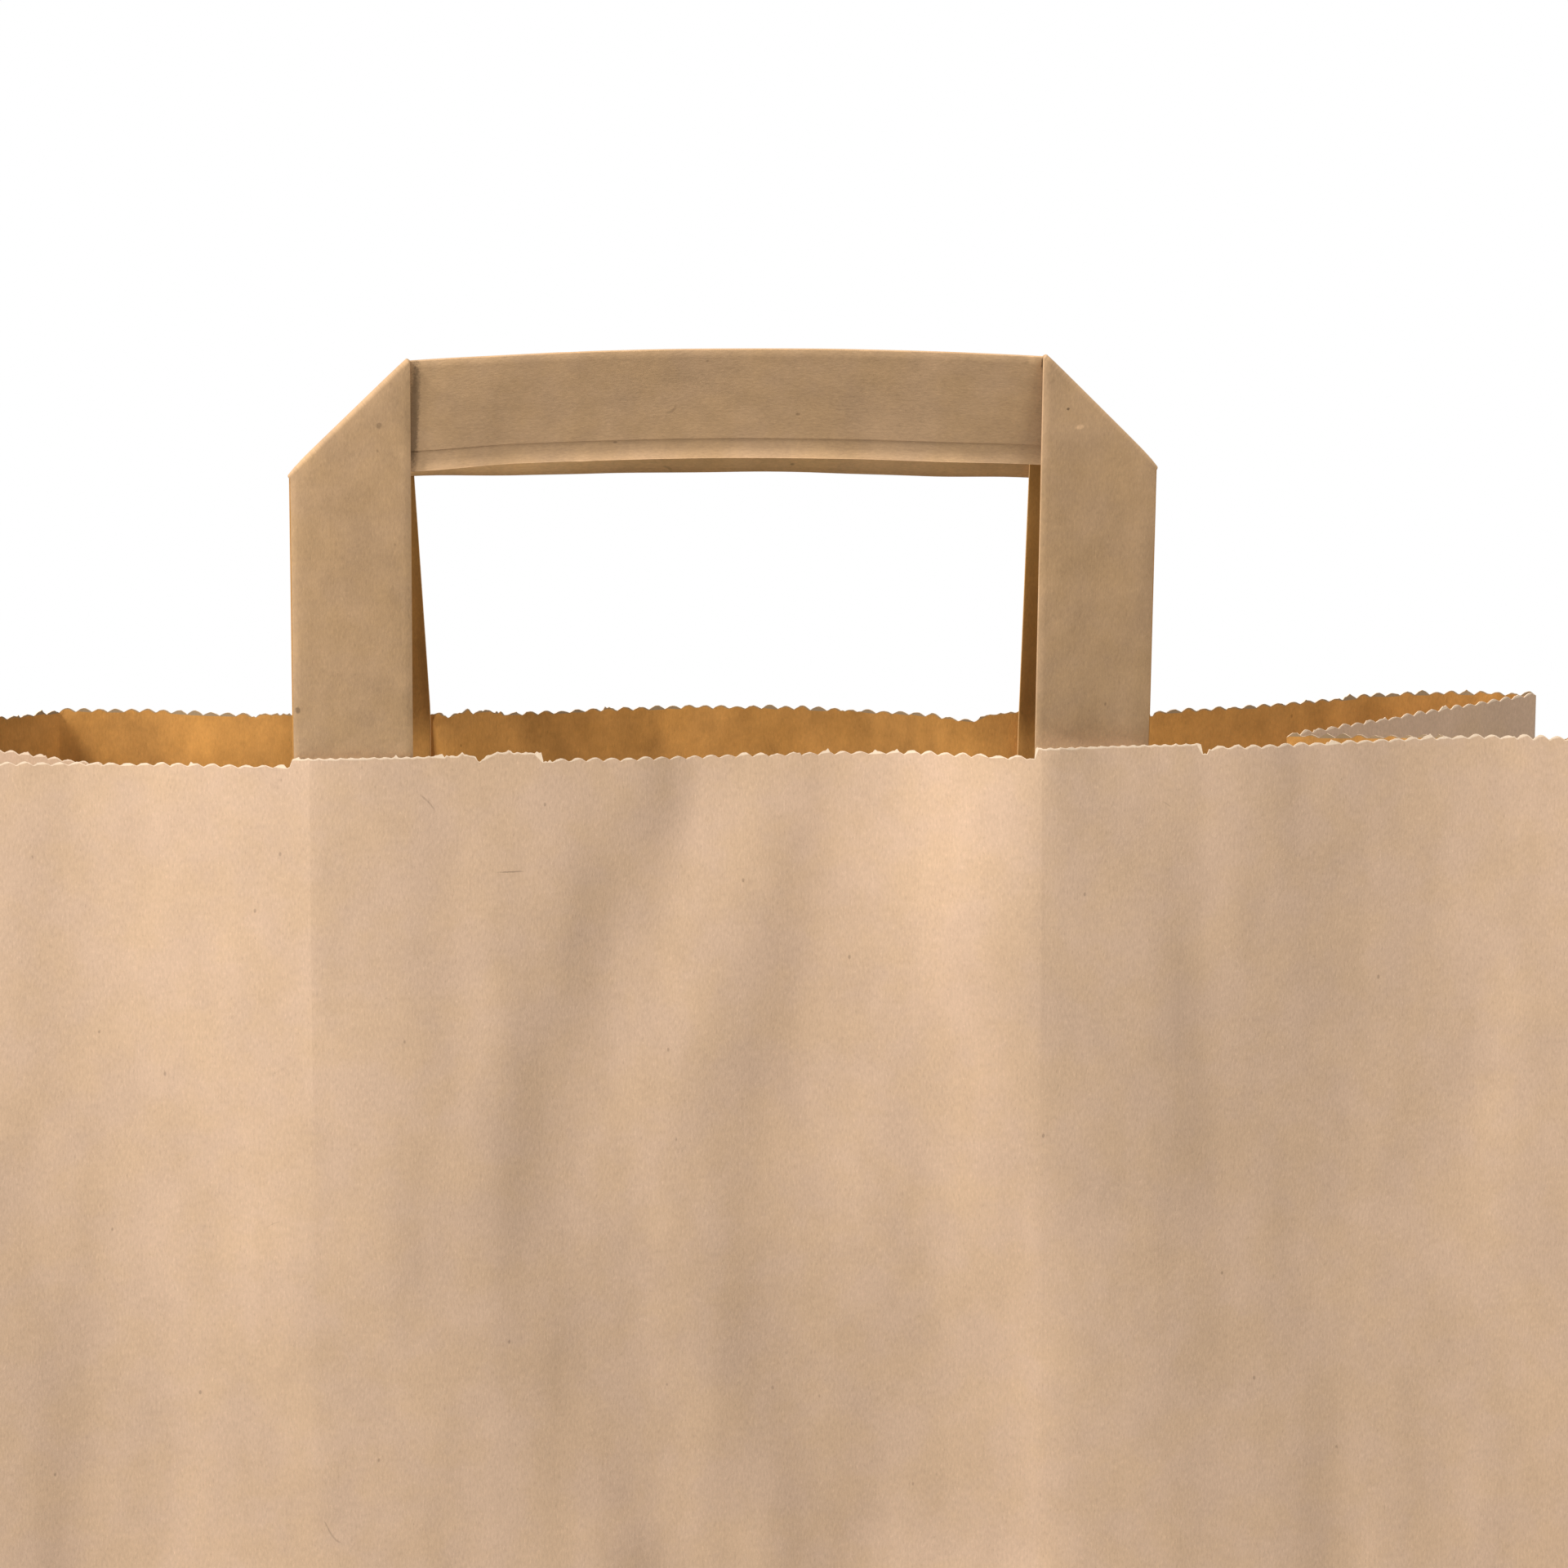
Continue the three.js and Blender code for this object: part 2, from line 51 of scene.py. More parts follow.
BACK_START = BAG_WIDTH + GUSSET
PERIMETER = 2 * BACK_START
SLOPE_STEP = 0.5

# The mouth: where each rim stands at the handle legs, the share of the sheet's width that it spans, its
# swell between the legs as (centre, rise), and its shoulders outside the legs as (run, rise)
FRONT_RIM_Y = -32.8
FRONT_CHORD = 0.992
FRONT_SWELL = (14.0, 8.0)
FRONT_RIGHT_SHOULDER = (64.0, 10.0)
FRONT_LEFT_SHOULDER = (78.0, 5.0)
SWELL_FADE = 5
BACK_RIM_Y = 16.5
BACK_CHORD = 0.98
BACK_SKEW = 0.064
BACK_SWELL = (0.0, 11.5)
BACK_RIGHT_SHOULDER = (69.0, 27.0)
BACK_LEFT_SHOULDER = (35.0, 9.0)
SPINE_SPRING = 2.8
SEAM_U = 40.0 - HALF_WIDTH
SEAM_BEND = math.radians(42)

# The handles
STRAP = 20.8
SPAN = 150.4
RISE = 70.6
BEND = 1.8
GLUED = 45.0
GLUE_GAP = 0.3
STRAP_PLY = 0.72
BACK_SHIFT = 3.0
LEG_OUTER = SPAN / 2
LEG_INNER = LEG_OUTER - STRAP
LEG_FLAT = LEG_OUTER + 2.5


def smooth(t):
    k = min(max(t, 0.0), 1.0)
    return k * k * (3 - 2 * k)


def swell(u, centre, rise):
    reach = LEG_INNER + centre if u < centre else LEG_INNER - centre
    t = min(abs(u - centre) / reach, 1.0)
    return rise * 0.5 * (1 + math.cos(math.pi * t))


def shoulder(outwards, run, rise):
    return rise * smooth((outwards - LEG_FLAT) / run)


def back_rim(u):
    """The back panel's rim, which bends at the lap seam near the left corner."""
    flat = max(u, SEAM_U)
    past = min(u - SEAM_U, 0.0)
    out = flat - BACK_SHIFT
    y = BACK_RIM_Y - BACK_SKEW * out + swell(out, *BACK_SWELL)
    y += shoulder(out, *BACK_RIGHT_SHOULDER) + shoulder(-out, *BACK_LEFT_SHOULDER)
    x = flat * BACK_CHORD + past * math.cos(SEAM_BEND)
    return Vector((x, y + past * math.sin(SEAM_BEND), BAG_HEIGHT))


def panel_point(side, u, v):
    """A place on the front panel (side -1) or the back panel (side 1), before its bends."""
    t = v / BAG_HEIGHT
    if side < 0:
        rim = Vector((u * FRONT_CHORD, FRONT_RIM_Y, BAG_HEIGHT))
        place = Vector((u, -HALF_GUSSET, 0)).lerp(rim, t)
        shoulders = shoulder(u, *FRONT_RIGHT_SHOULDER) + shoulder(-u, *FRONT_LEFT_SHOULDER)
        place.y += swell(u, *FRONT_SWELL) * t ** SWELL_FADE + shoulders * t * t
    else:
        place = Vector((u, HALF_GUSSET, 0)).lerp(back_rim(u), t)
    place.z += FLOOR_Z
    return place


def gusset_spine(side):
    """The middle crease of a gusset: its foot, the tip of the bottom's triangle, and its top."""
    def inward_at(v):
        front = panel_point(-1, side * HALF_WIDTH, v)
        back = panel_point(1, side * HALF_WIDTH, v)
        half = min((front - back).length / 2, HALF_GUSSET)
        return (front + back) / 2, math.sqrt(HALF_GUSSET ** 2 - half ** 2)

    middle, inward = inward_at(HALF_GUSSET)
    apex_z = FLOOR_Z + math.sqrt(HALF_GUSSET ** 2 - inward ** 2)
    apex = Vector((middle.x - side * inward, middle.y, apex_z))
    middle, inward = inward_at(BAG_HEIGHT)
    top = Vector((middle.x - side * inward, middle.y, apex_z))
    top.z += math.sqrt((BAG_HEIGHT - HALF_GUSSET) ** 2 - (top - apex).length ** 2) + SPINE_SPRING
    return Vector((side * HALF_WIDTH, 0, FLOOR_Z)), apex, top


SPINES = {1: gusset_spine(1), -1: gusset_spine(-1)}


def gusset_point(side, w, v):
    base, apex, top = SPINES[side]
    if v <= HALF_GUSSET:
        middle = base.lerp(apex, v / HALF_GUSSET)
    else:
        middle = apex.lerp(top, (v - HALF_GUSSET) / (BAG_HEIGHT - HALF_GUSSET))
    panel = -1 if w < HALF_GUSSET else 1
    across = abs(w - HALF_GUSSET)
    crease = max(HALF_GUSSET - v, 0.0)
    place = middle.copy()
    place.y += panel * min(across, crease)
    if across > crease:
        corner = panel_point(panel, side * HALF_WIDTH, v)
        place = place.lerp(corner, (across - crease) / (HALF_GUSSET - crease))
    return place


def tube_point(s, v):
    s = s % PERIMETER
    if s <= BAG_WIDTH:
        return panel_point(-1, s - HALF_WIDTH, v)
    if s < BACK_START:
        return gusset_point(1, s - BAG_WIDTH, v)
    if s <= BACK_START + BAG_WIDTH:
        return panel_point(1, HALF_WIDTH + BACK_START - s, v)
    return gusset_point(-1, PERIMETER - s, v)


def square_to(point, across, up):
    """The direction square to a surface, given as a function of two places."""
    along = point(across + SLOPE_STEP, up) - point(across - SLOPE_STEP, up)
    rising = point(across, up + SLOPE_STEP) - point(across, up - SLOPE_STEP)
    return along.cross(rising).normalized()


# Lines of the front panel where the straps' edges and the strip's end press through, and their sharpness
LEFT_PRESS = -73.0
RIGHT_PRESS = 54.5
STRIP_PRESS = 84.0
SHARP = 0.3
FIRM = 0.8
TOP = BAG_HEIGHT
STRIP_LINE = [(STRIP_PRESS, 356), (STRIP_PRESS, 330), (STRIP_PRESS, 315), (STRIP_PRESS, 300)]

# Bends of the panels: reach to the left and to the right, slope at the top, slope low down, and the line
# that the bend follows downwards as (u, v). A bend fades out over the last stretch of its line.
FRONT_BENDS = [
    (17.0, 17.0, 0.30, 0.12, [(-92, TOP), (-82, 322), (-84, 262), (-84, 180)]),
    (10.0, SHARP, 0.17, 0.13, [(LEFT_PRESS, TOP), (LEFT_PRESS, 330), (LEFT_PRESS, 290)]),
    (SHARP, 8.0, -0.07, -0.04, [(LEFT_PRESS, TOP), (LEFT_PRESS, 345), (LEFT_PRESS, 320)]),
    (8.0, 8.0, 0.03, 0.04, [(-24, TOP), (-14, 362), (-10, 340)]),
    (
        8.0, 8.0, -0.12, -0.33,
        [(-8, TOP), (-27, 368), (-36, 334), (-39, 315), (-31, 286), (-16, 258), (-8, 190)],
    ),
    (5.0, 5.0, -0.12, -0.08, [(-54, 362), (-54, 340), (-55, 320), (-56, 300)]),
    (6.0, 6.0, 0.12, 0.07, [(-2, 392), (-11, 358), (-18, 326)]),
    (8.0, 8.0, -0.12, -0.28, [(18, TOP), (9, 360), (4, 340), (3, 298), (13, 258), (16, 180)]),
    (4.0, 4.0, -0.06, -0.10, [(25, 385), (27, 320), (22, 265), (20, 200)]),
    (11.0, 7.0, 0.35, 0.30, [(47, TOP), (43, 366), (49, 332), (54, 305), (55, 262), (48, 180)]),
    (3.5, 3.5, 0.20, 0.16, [(37, 385), (39, 355), (42, 335), (44, 318)]),
    (7.0, SHARP, 0.12, 0.08, [(RIGHT_PRESS, TOP), (RIGHT_PRESS, 350), (RIGHT_PRESS, 316)]),
    (SHARP, 9.0, -0.10, -0.04, [(RIGHT_PRESS, TOP), (RIGHT_PRESS, 360), (RIGHT_PRESS, 330)]),
    (6.0, 9.0, -0.23, -0.10, [(63, TOP), (77, 364), (81, 304), (90, 240)]),
    (6.0, FIRM, -0.10, -0.10, STRIP_LINE),
    (FIRM, 6.0, 0.10, 0.10, STRIP_LINE),
    (5.0, 5.0, -0.04, -0.12, [(98, 320), (104, 290), (105, 262), (106, 200)]),
    (10.0, 10.0, 0.04, 0.05, [(115, TOP), (137, 335), (116, 290), (118, 180)]),
    (12.0, 12.0, -0.11, -0.28, [(-124, 390), (-121, 262), (-116, 170)]),
]
BACK_BENDS = [
    (9.0, 9.0, 0.06, 0.04, [(-70, TOP), (-60, 330), (-66, 240), (-60, 140)]),
    (8.0, 8.0, -0.03, -0.06, [(-15, 380), (-10, 300), (4, 220), (0, 120)]),
    (9.0, 9.0, 0.05, 0.04, [(52, TOP), (60, 320), (54, 230), (58, 130)]),
    (10.0, 10.0, -0.03, -0.05, [(112, 380), (104, 300), (110, 200), (106, 120)]),
]

# Bends and creases fade out towards the panels' corners and foot
CORNER_FADE = 16.0
FOOT_FADE = 60.0

# Small uneven creases that run up the panels
CRUMPLE = 0.45
CRUMPLE_WIDTH = 8.0
CRUMPLE_LENGTH = 45.0
CRUMPLE_SEED = 3.3

# The swell of the panels' upper left part
BELLY = 3.2
BELLY_V = 320.0
BELLY_REACH = 110.0
BELLY_CORNER = 24.0
BELLY_END = 110.0


def bend_at(line, v):
    """Where a bend's line is at a height, and how far along its steady part and its fading end that is."""
    for (u0, v0), (u1, v1) in zip(line, line[1:]):
        if v >= v1:
            break
    t = min(max((v0 - v) / (v0 - v1), 0.0), 1.0)
    steady = (line[0][1] - v) / (line[0][1] - line[-2][1])
    fading = (line[-2][1] - v) / (line[-2][1] - line[-1][1])
    return u0 + (u1 - u0) * t, min(max(steady, 0.0), 1.0), min(max(fading, 0.0), 1.0)


def bent(bends, u, v):
    """How far the paper stands out: each bend is a soft step, and both ends of the panel stay put."""
    def step(across):
        reach = left if across < 0 else right
        return reach * math.erf(across / reach)

    out = 0.0
    for left, right, top_slope, low_slope, line in bends:
        centre, steady, fading = bend_at(line, v)
        slope = (top_slope + (low_slope - top_slope) * steady) * (1 - fading)
        start, end = step(-HALF_WIDTH - centre), step(HALF_WIDTH - centre)
        pinned = start + (end - start) * (u + HALF_WIDTH) / BAG_WIDTH
        out += 0.5 * math.sqrt(math.pi) * slope * (step(u - centre) - pinned)
    return out


def panel_relief(side, u, v):
    """How far a panel's paper stands out of its plain fold."""
    free = smooth((HALF_WIDTH - abs(u)) / CORNER_FADE) * smooth(v / FOOT_FADE)
    v = min(v, BAG_HEIGHT)
    spot = Vector((u / CRUMPLE_WIDTH, v / CRUMPLE_LENGTH, side * CRUMPLE_SEED))
    bends = bent(FRONT_BENDS if side < 0 else BACK_BENDS, u, v)
    far = min(abs(v - BELLY_V) / BELLY_REACH, 1.0)
    belly = BELLY * (0.5 + 0.5 * math.cos(math.pi * far))
    belly *= smooth((HALF_WIDTH + u) / BELLY_CORNER) * smooth((BELLY_END - u) / BELLY_END)
    return free * (bends + CRUMPLE * noise.noise(spot)) + belly


def relief(s, v):
    s = s % PERIMETER
    if s <= BAG_WIDTH:
        return panel_relief(-1, s - HALF_WIDTH, v)
    if BACK_START <= s <= BACK_START + BAG_WIDTH:
        return panel_relief(1, HALF_WIDTH + BACK_START - s, v)
    return 0.0


# Scallops of the saw-cut edge
TEETH_PANEL = 107
TEETH_HALF = 20
TEETH_SIDE = TEETH_PANEL + 2 * TEETH_HALF
TOOTH_CUTS = 7
TOOTH_DEPTH = 0.62
TOOTH_UNEVEN = 0.35
TOOTH_SEED = (1.7, 0.5)
TOOTH_ROOT = 0.35
SCALLOP_ROUND = 1.15
EDGE_ROW = BAG_HEIGHT - 1.3

# Roughness and loose fibres along the whole edge, as (rate, row) of the noise that they follow
ROUGH = 0.1
ROUGH_SEED = (2.3, 3.1)
FIBRE_SEED = (5.1, 8.3)
FIBRE_LEVEL = 0.42
FIBRE_LIFT = 1.6

# The raised cuts beside the legs: small nicks, a torn stretch, and a short low end
NICK = 0.22
NICK_PITCH = 1.9
NICK_POINT = 3
TORN = 0.35
TORN_U = -43.0
TORN_REACH = 10.0
TORN_FADE = 3.0
CUT_END = 0.9
CUT_END_DROP = 0.25
CUT_END_ROUGH = 0.3

# The rim right of the right leg slants up
SLANT_START = 80.0
SLANT_RUN = 6.0
SLANT_END = 30.0


class Rim(NamedTuple):
    """A cut edge, with its dip as (depth, centre, reach, power) and its slant."""

    # Raised cuts as (from, to, rise), and torn spots as (centre, reach, lift)
    cuts: tuple = ()
    tears: tuple = ()
    dip: tuple = (0.0, 0.0, 1.0, 2)
    slant: float = 0.0


FRONT_RIM = Rim(
    cuts=((-76.0, -33.0, 1.2), (53.6, 83.6, 1.5)),
    tears=(
        (-43.6, 1.0, -1.0),
        (-46.6, 0.8, 0.35),
        (-50.6, 0.8, 0.3),
        (-39.5, 2.4, 0.45),
        (-35.2, 1.2, 0.1),
    ),
    dip=(0.6, 0.0, 24.0, 4),
    slant=0.9,
)
BACK_RIM = Rim(
    cuts=((-84.0, -38.0, 0.25), (51.0, 82.0, 0.7)),
    tears=((-45.0, 0.7, 0.8), (-41.5, 1.4, 0.5), (-48.5, 0.6, -0.9), (-52.5, 0.5, -0.7)),
    dip=(1.0, 49.0, 7.0, 2),
    slant=0.7,
)
GUSSET_RIM = Rim()


def rim_at(s):
    """The rim that a place on the tube belongs to, and how far across its panel it is."""
    if s <= BAG_WIDTH:
        return FRONT_RIM, s - HALF_WIDTH
    if BACK_START <= s <= BACK_START + BAG_WIDTH:
        return BACK_RIM, HALF_WIDTH + BACK_START - s
    return GUSSET_RIM, 0.0


def uneven(place, seed):
    rate, row = seed
    return noise.noise(Vector((place * rate, row, 0.0)))


def hump(u, centre, reach, power=2):
    return math.exp(-((u - centre) / reach) ** power)


def edge_height(s):
    """The height of the cut edge: raised and torn beside the handle legs, scalloped elsewhere."""
    s = s % PERIMETER
    rim, u = rim_at(s)
    rough = uneven(s, ROUGH_SEED)
    depth, centre, reach, power = rim.dip
    top = BAG_HEIGHT - depth * hump(u, centre, reach, power)
    top += FIBRE_LIFT * max(uneven(s, FIBRE_SEED) - FIBRE_LEVEL, 0.0)
    for low, high, rise in rim.cuts:
        if low < u < high:
            nicks = NICK * abs(math.sin(math.pi * u / NICK_PITCH)) ** NICK_POINT
            torn = TORN * smooth((TORN_REACH - abs(u - TORN_U)) / TORN_FADE)
            tears = sum(lift * hump(u, centre, reach) for centre, reach, lift in rim.tears)
            return top + rise + nicks + (ROUGH + torn) * rough + tears
        if low - CUT_END < u <= low or high <= u < high + CUT_END:
            return BAG_HEIGHT - CUT_END_DROP + CUT_END_ROUGH * rough
    along = s % BACK_START
    count = min(along, BAG_WIDTH) * TEETH_PANEL / BAG_WIDTH
    count += max(along - BAG_WIDTH, 0.0) * TEETH_HALF / HALF_GUSSET
    tooth = int(count) + (TEETH_SIDE if s >= BACK_START else 0)
    scallop = abs(math.sin(math.pi * count)) ** SCALLOP_ROUND
    depth = TOOTH_DEPTH + TOOTH_UNEVEN * uneven(tooth, TOOTH_SEED)
    slant = rim.slant * smooth((u - SLANT_START) / SLANT_RUN) * smooth((HALF_WIDTH - u) / SLANT_END)
    return top - TOOTH_ROOT + slant + depth * scallop + ROUGH * rough


# Shared steps of modelling
GRID_TOP = 0.4999


def rest_selection():
    if bpy.context.object and bpy.context.object.mode != "OBJECT":
        bpy.ops.object.mode_set(mode="OBJECT")
    bpy.ops.object.select_all(action="DESELECT")


def start_grid(name, columns, rows):
    rest_selection()
    bpy.ops.mesh.primitive_grid_add(x_subdivisions=columns, y_subdivisions=rows, size=1)
    piece = bpy.context.object
    piece.name = name
    piece.data.name = name
    return piece


def on_grid(co, columns, rows):
    """A place on a flat grid, counted in columns and rows from its lower left corner."""
    return (co.x + 0.5) * columns, (co.y + 0.5) * rows


def choose(piece):
    rest_selection()
    piece.select_set(True)
    bpy.context.view_layer.objects.active = piece


def apply_modifier(piece, kind, **settings):
    modifier = piece.modifiers.new(kind.lower(), kind)
    for key, value in settings.items():
        setattr(modifier, key, value)
    choose(piece)
    bpy.ops.object.modifier_apply(modifier=modifier.name)


def shade(piece, degrees):
    choose(piece)
    bpy.ops.object.shade_smooth_by_angle(angle=math.radians(degrees))


def select_edges(piece, wanted):
    """In edit mode, select the edges whose ends are both wanted."""
    bpy.ops.mesh.select_all(action="DESELECT")
    mesh = bmesh.from_edit_mesh(piece.data)
    for edge in mesh.edges:
        edge.select = all(wanted(vertex.co) for vertex in edge.verts)
    bmesh.update_edit_mesh(piece.data)


def write_uv(piece, mapping):
    mesh = piece.data
    layer = mesh.uv_layers.active or mesh.uv_layers.new(name="sheet")
    layer.name = "sheet"
    for loop in mesh.loops:
        layer.data[loop.index].uv = mapping(mesh.vertices[loop.vertex_index].co)


# Columns of the front panel close up on both sides of the straps' press lines, which end at a height
PRESS_LINES = (HALF_WIDTH + LEFT_PRESS, HALF_WIDTH + RIGHT_PRESS)
PRESS_REACH = 12.0
PRESS_CLOSE = 2.2
PRESS_END = 335.0
PANEL_ROW = 6.0

# How near two places count as one: in columns of a grid, in millimetres on the sheet and above the floor,
# and in metres where the folded sheet's edges meet
SAME_COLUMN = 1e-4
SAME_PLACE = 0.001
FLOOR_SLACK = 0.01
SHEET_MERGE = 0.00002
BAG_SMOOTH = 24


def pressed(s):
    for line in PRESS_LINES:
        off = (s - line) / PRESS_REACH
        if abs(off) < 1:
            return line + PRESS_REACH * math.copysign(abs(off) ** PRESS_CLOSE, off)
    return s


def sheet_columns():
    """Where the sheet's columns are: one to a tooth, closed up beside the press lines."""
    panel = [BAG_WIDTH * i / TEETH_PANEL for i in range(TEETH_PANEL)]
    gusset = [BAG_WIDTH + HALF_GUSSET * i / TEETH_HALF for i in range(2 * TEETH_HALF)]
    front = [pressed(s) for s in panel]
    return front + gusset + [BACK_START + s for s in panel + gusset] + [PERIMETER]


def sheet_rows():
    """Where the sheet's rows are: in the foot as close as the gussets' columns, for the slanted creases."""
    foot = [HALF_GUSSET * i / TEETH_HALF for i in range(TEETH_HALF)]
    count = 1 + int((EDGE_ROW - HALF_GUSSET) / PANEL_ROW)
    return foot + [HALF_GUSSET + PANEL_ROW * i for i in range(count)] + [EDGE_ROW, BAG_HEIGHT]


def between(marks_and_shade, place):
    """The value at a place on a grid whose lines have these values."""
    i = min(int(place + SAME_COLUMN), len(marks_and_shade) - 2)
    return marks_and_shade[i] + (marks_and_shade[i + 1] - marks_and_shade[i]) * (place - i)


def crease_foot(bag, columns, rows):
    """Cut the gussets' lower squares along the slanted creases of the block bottom."""
    sheet = bmesh.from_edit_mesh(bag.data)
    for face in list(sheet.faces):
        if len(face.verts) != 4:
            continue
        column, row = (int(place) for place in on_grid(face.calc_center_median(), columns, rows))
        inside = column % TEETH_SIDE - TEETH_PANEL
        if inside < 0 or row >= TEETH_HALF:
            continue
        corners = sorted(face.verts, key=lambda v: (round(v.co.y, 5), v.co.x))
        if inside == row:
            bmesh.utils.face_split(face, corners[0], corners[3])
        elif inside == 2 * TEETH_HALF - 1 - row:
            bmesh.utils.face_split(face, corners[1], corners[2])
    bmesh.update_edit_mesh(bag.data)


# The bag: a flat sheet with a saw-cut top edge, folded up into a tube and closed below
def make_bag():
    spots, heights = sheet_columns(), sheet_rows()
    columns, rows = len(spots) - 1, len(heights) - 1
    bag = start_grid("bag_shell", columns, rows)

    def on_top(co):
        return co.y > GRID_TOP

    def flat_place(co):
        across, up = on_grid(co, columns, rows)
        s = between(spots, across)
        return s, edge_height(s) if on_top(co) else between(heights, up)

    bpy.ops.object.mode_set(mode="EDIT")
    bpy.ops.mesh.select_mode(type="EDGE")
    select_edges(bag, on_top)
    bpy.ops.mesh.subdivide(number_cuts=TOOTH_CUTS, ngon=True, quadcorner="STRAIGHT_CUT")
    crease_foot(bag, columns, rows)
    bpy.ops.object.mode_set(mode="OBJECT")
    write_uv(bag, lambda co: [place * MM for place in flat_place(co)])
    creases = [min(spots, key=lambda s: abs(s - line)) for line in PRESS_LINES]
    for edge in bag.data.edges:
        ends = [flat_place(bag.data.vertices[i].co) for i in edge.vertices]
        for crease in creases:
            if all(abs(s - crease) < SAME_PLACE and v > PRESS_END for s, v in ends):
                edge.use_edge_sharp = True
    cut_edge = bag.data.attributes.new("cut_edge", "FLOAT", "POINT")
    for vertex in bag.data.vertices:
        cut_edge.data[vertex.index].value = 1.0 if on_top(vertex.co) else 0.0
    for vertex in bag.data.vertices:
        s, v = flat_place(vertex.co)
        vertex.co = (tube_point(s, v) + square_to(tube_point, s, v) * relief(s, v)) * MM
    bpy.ops.object.mode_set(mode="EDIT")
    bpy.ops.mesh.select_all(action="SELECT")
    bpy.ops.mesh.remove_doubles(threshold=SHEET_MERGE)
    select_edges(bag, lambda co: co.z < (FLOOR_Z + FLOOR_SLACK) * MM)
    bpy.ops.mesh.edge_face_add()
    bpy.ops.object.mode_set(mode="OBJECT")
    for material in (outside_paper, inside_paper_painted_glow, cut_paper):
        bag.data.materials.append(material)
    layers = {"material_offset": 1, "material_offset_rim": 2}
    apply_modifier(bag, "SOLIDIFY", thickness=PAPER * MM, offset=-1, **layers)
    shade(bag, BAG_SMOOTH)
    return bag


# A handle strap: leg, slanted fold, bar, slanted fold, leg, with y up from the bend and z inwards
FOLD_STEPS = 8
LEG_ROWS = 30
HALF_BAR_ROWS = 30
ALONG = 2 * (LEG_ROWS + FOLD_STEPS + HALF_BAR_ROWS)
FOLD_RADIUS = 0.5
BAR_HEIGHT = 19.6
BAR_ARCH = 1.7
LEFT_DROP = 0.6
RIGHT_DROP = 1.2
TURN_FADE = 14.0
BAR_CLEAR = 2.0
BAR_FADE = 16.0

# The bar's buckles, as rates of the noise along and across it, and the crease left of its middle
BUCKLE = 0.55
BUCKLE_ALONG = 0.045
BUCKLE_ACROSS = 0.8
BUCKLE_SEED = 7.0
CREASE_X = -26.5
CREASE_SLANT = 1.5
CREASE_REACH = 0.9

# How the legs stand: the front ones squeezed in less at the foot, the back ones spread above a height
FOOT_SQUEEZE = 0.56
SPREAD_FROM = 0.35
BACK_LEG_SHIFT = 0.5
BACK_LEG_LEAN = 1.4
LEG_BEND_DEPTH = 9.0
LEG_BEND_RUN = 8.0


class Handle(NamedTuple):
    """A handle: its panel, shift and lean, its bar's gap and crease, its right leg's turn, its squeeze."""

    side: int
    shift: float
    lean: float
    gap: float
    crease: float
    turn: float
    squeeze: float


FRONT_HANDLE = Handle(
    side=-1, shift=0.0, lean=math.radians(-9.5), gap=2.0, crease=0.3, turn=2.7, squeeze=1.95
)
BACK_HANDLE = Handle(
    side=1, shift=BACK_SHIFT, lean=math.radians(26), gap=1.0, crease=0.0, turn=-2.0, squeeze=2.4
)


def strap_place(handle, a, step):
    """The middle of the strap and its outward side; a runs from the legs' outer edge to the inner edge."""
    mirror, turned, drop = 1, 0.0, LEFT_DROP * (1 - a)
    if step > ALONG / 2:
        mirror, step, drop = -1, ALONG - step, RIGHT_DROP * (1 - a)
        turned = handle.turn * (1 - a) if handle.turn > 0 else -handle.turn * a
    x_leg = STRAP * a - LEG_OUTER
    fold_y = RISE - STRAP + BAR_HEIGHT * a - drop
    if step <= LEG_ROWS:
        y = (fold_y + GLUED) * step / LEG_ROWS - GLUED
        z = turned * smooth((y + TURN_FADE) / TURN_FADE)
        return Vector((mirror * x_leg, y, z)), Vector((0, 0, -1))
    if step <= LEG_ROWS + FOLD_STEPS:
        t = math.pi * (step - LEG_ROWS) / FOLD_STEPS
        slant = math.sin(t) * math.sqrt(0.5)
        out = FOLD_RADIUS * slant
        z = FOLD_RADIUS * (1 - math.cos(t)) + turned
        outward = Vector((-mirror * slant, slant, -math.cos(t)))
        return Vector((mirror * (x_leg - out), fold_y + out, z)), outward
    t = (step - LEG_ROWS - FOLD_STEPS) / HALF_BAR_ROWS
    x = x_leg * (1 - t)
    y = fold_y + drop * smooth(t) + BAR_ARCH * (1 - (1 - t) ** 2)
    away = smooth((x + LEG_INNER - BAR_CLEAR) / BAR_FADE)
    z = 2 * FOLD_RADIUS + handle.gap * (1 - a) * away + turned * (1 - away)
    spot = Vector((mirror * x * BUCKLE_ALONG, a * BUCKLE_ACROSS, handle.gap * BUCKLE_SEED))
    z += BUCKLE * away * noise.noise(spot)
    z -= handle.crease * hump(mirror * x - CREASE_SLANT * (1 - a), CREASE_X, CREASE_REACH)
    return Vector((mirror * x, y, z)), Vector((0, 0, 1))


def strap_length(a, step):
    """How far along the flat strap a place is, from the end of its first leg."""
    near = min(step, ALONG - step)
    fold = GLUED + RISE - STRAP + BAR_HEIGHT * a
    bar = LEG_OUTER - STRAP * a
    along = fold * min(near / LEG_ROWS, 1.0)
    along += bar * max(near - LEG_ROWS - FOLD_STEPS, 0) / HALF_BAR_ROWS
    return along if step <= ALONG / 2 else 2 * (fold + bar) - along


def on_panel(side, x, y, inwards):
    """A place beside a panel: x across, y up from the bend, some way inwards of the paper."""
    def point(u, v):
        return panel_point(side, u, v)

    u = x / (FRONT_CHORD if side < 0 else BACK_CHORD)
    v = BAG_HEIGHT + BEND + y
    return point(u, v) + square_to(point, u, v) * side * (inwards - panel_relief(side, u, v))


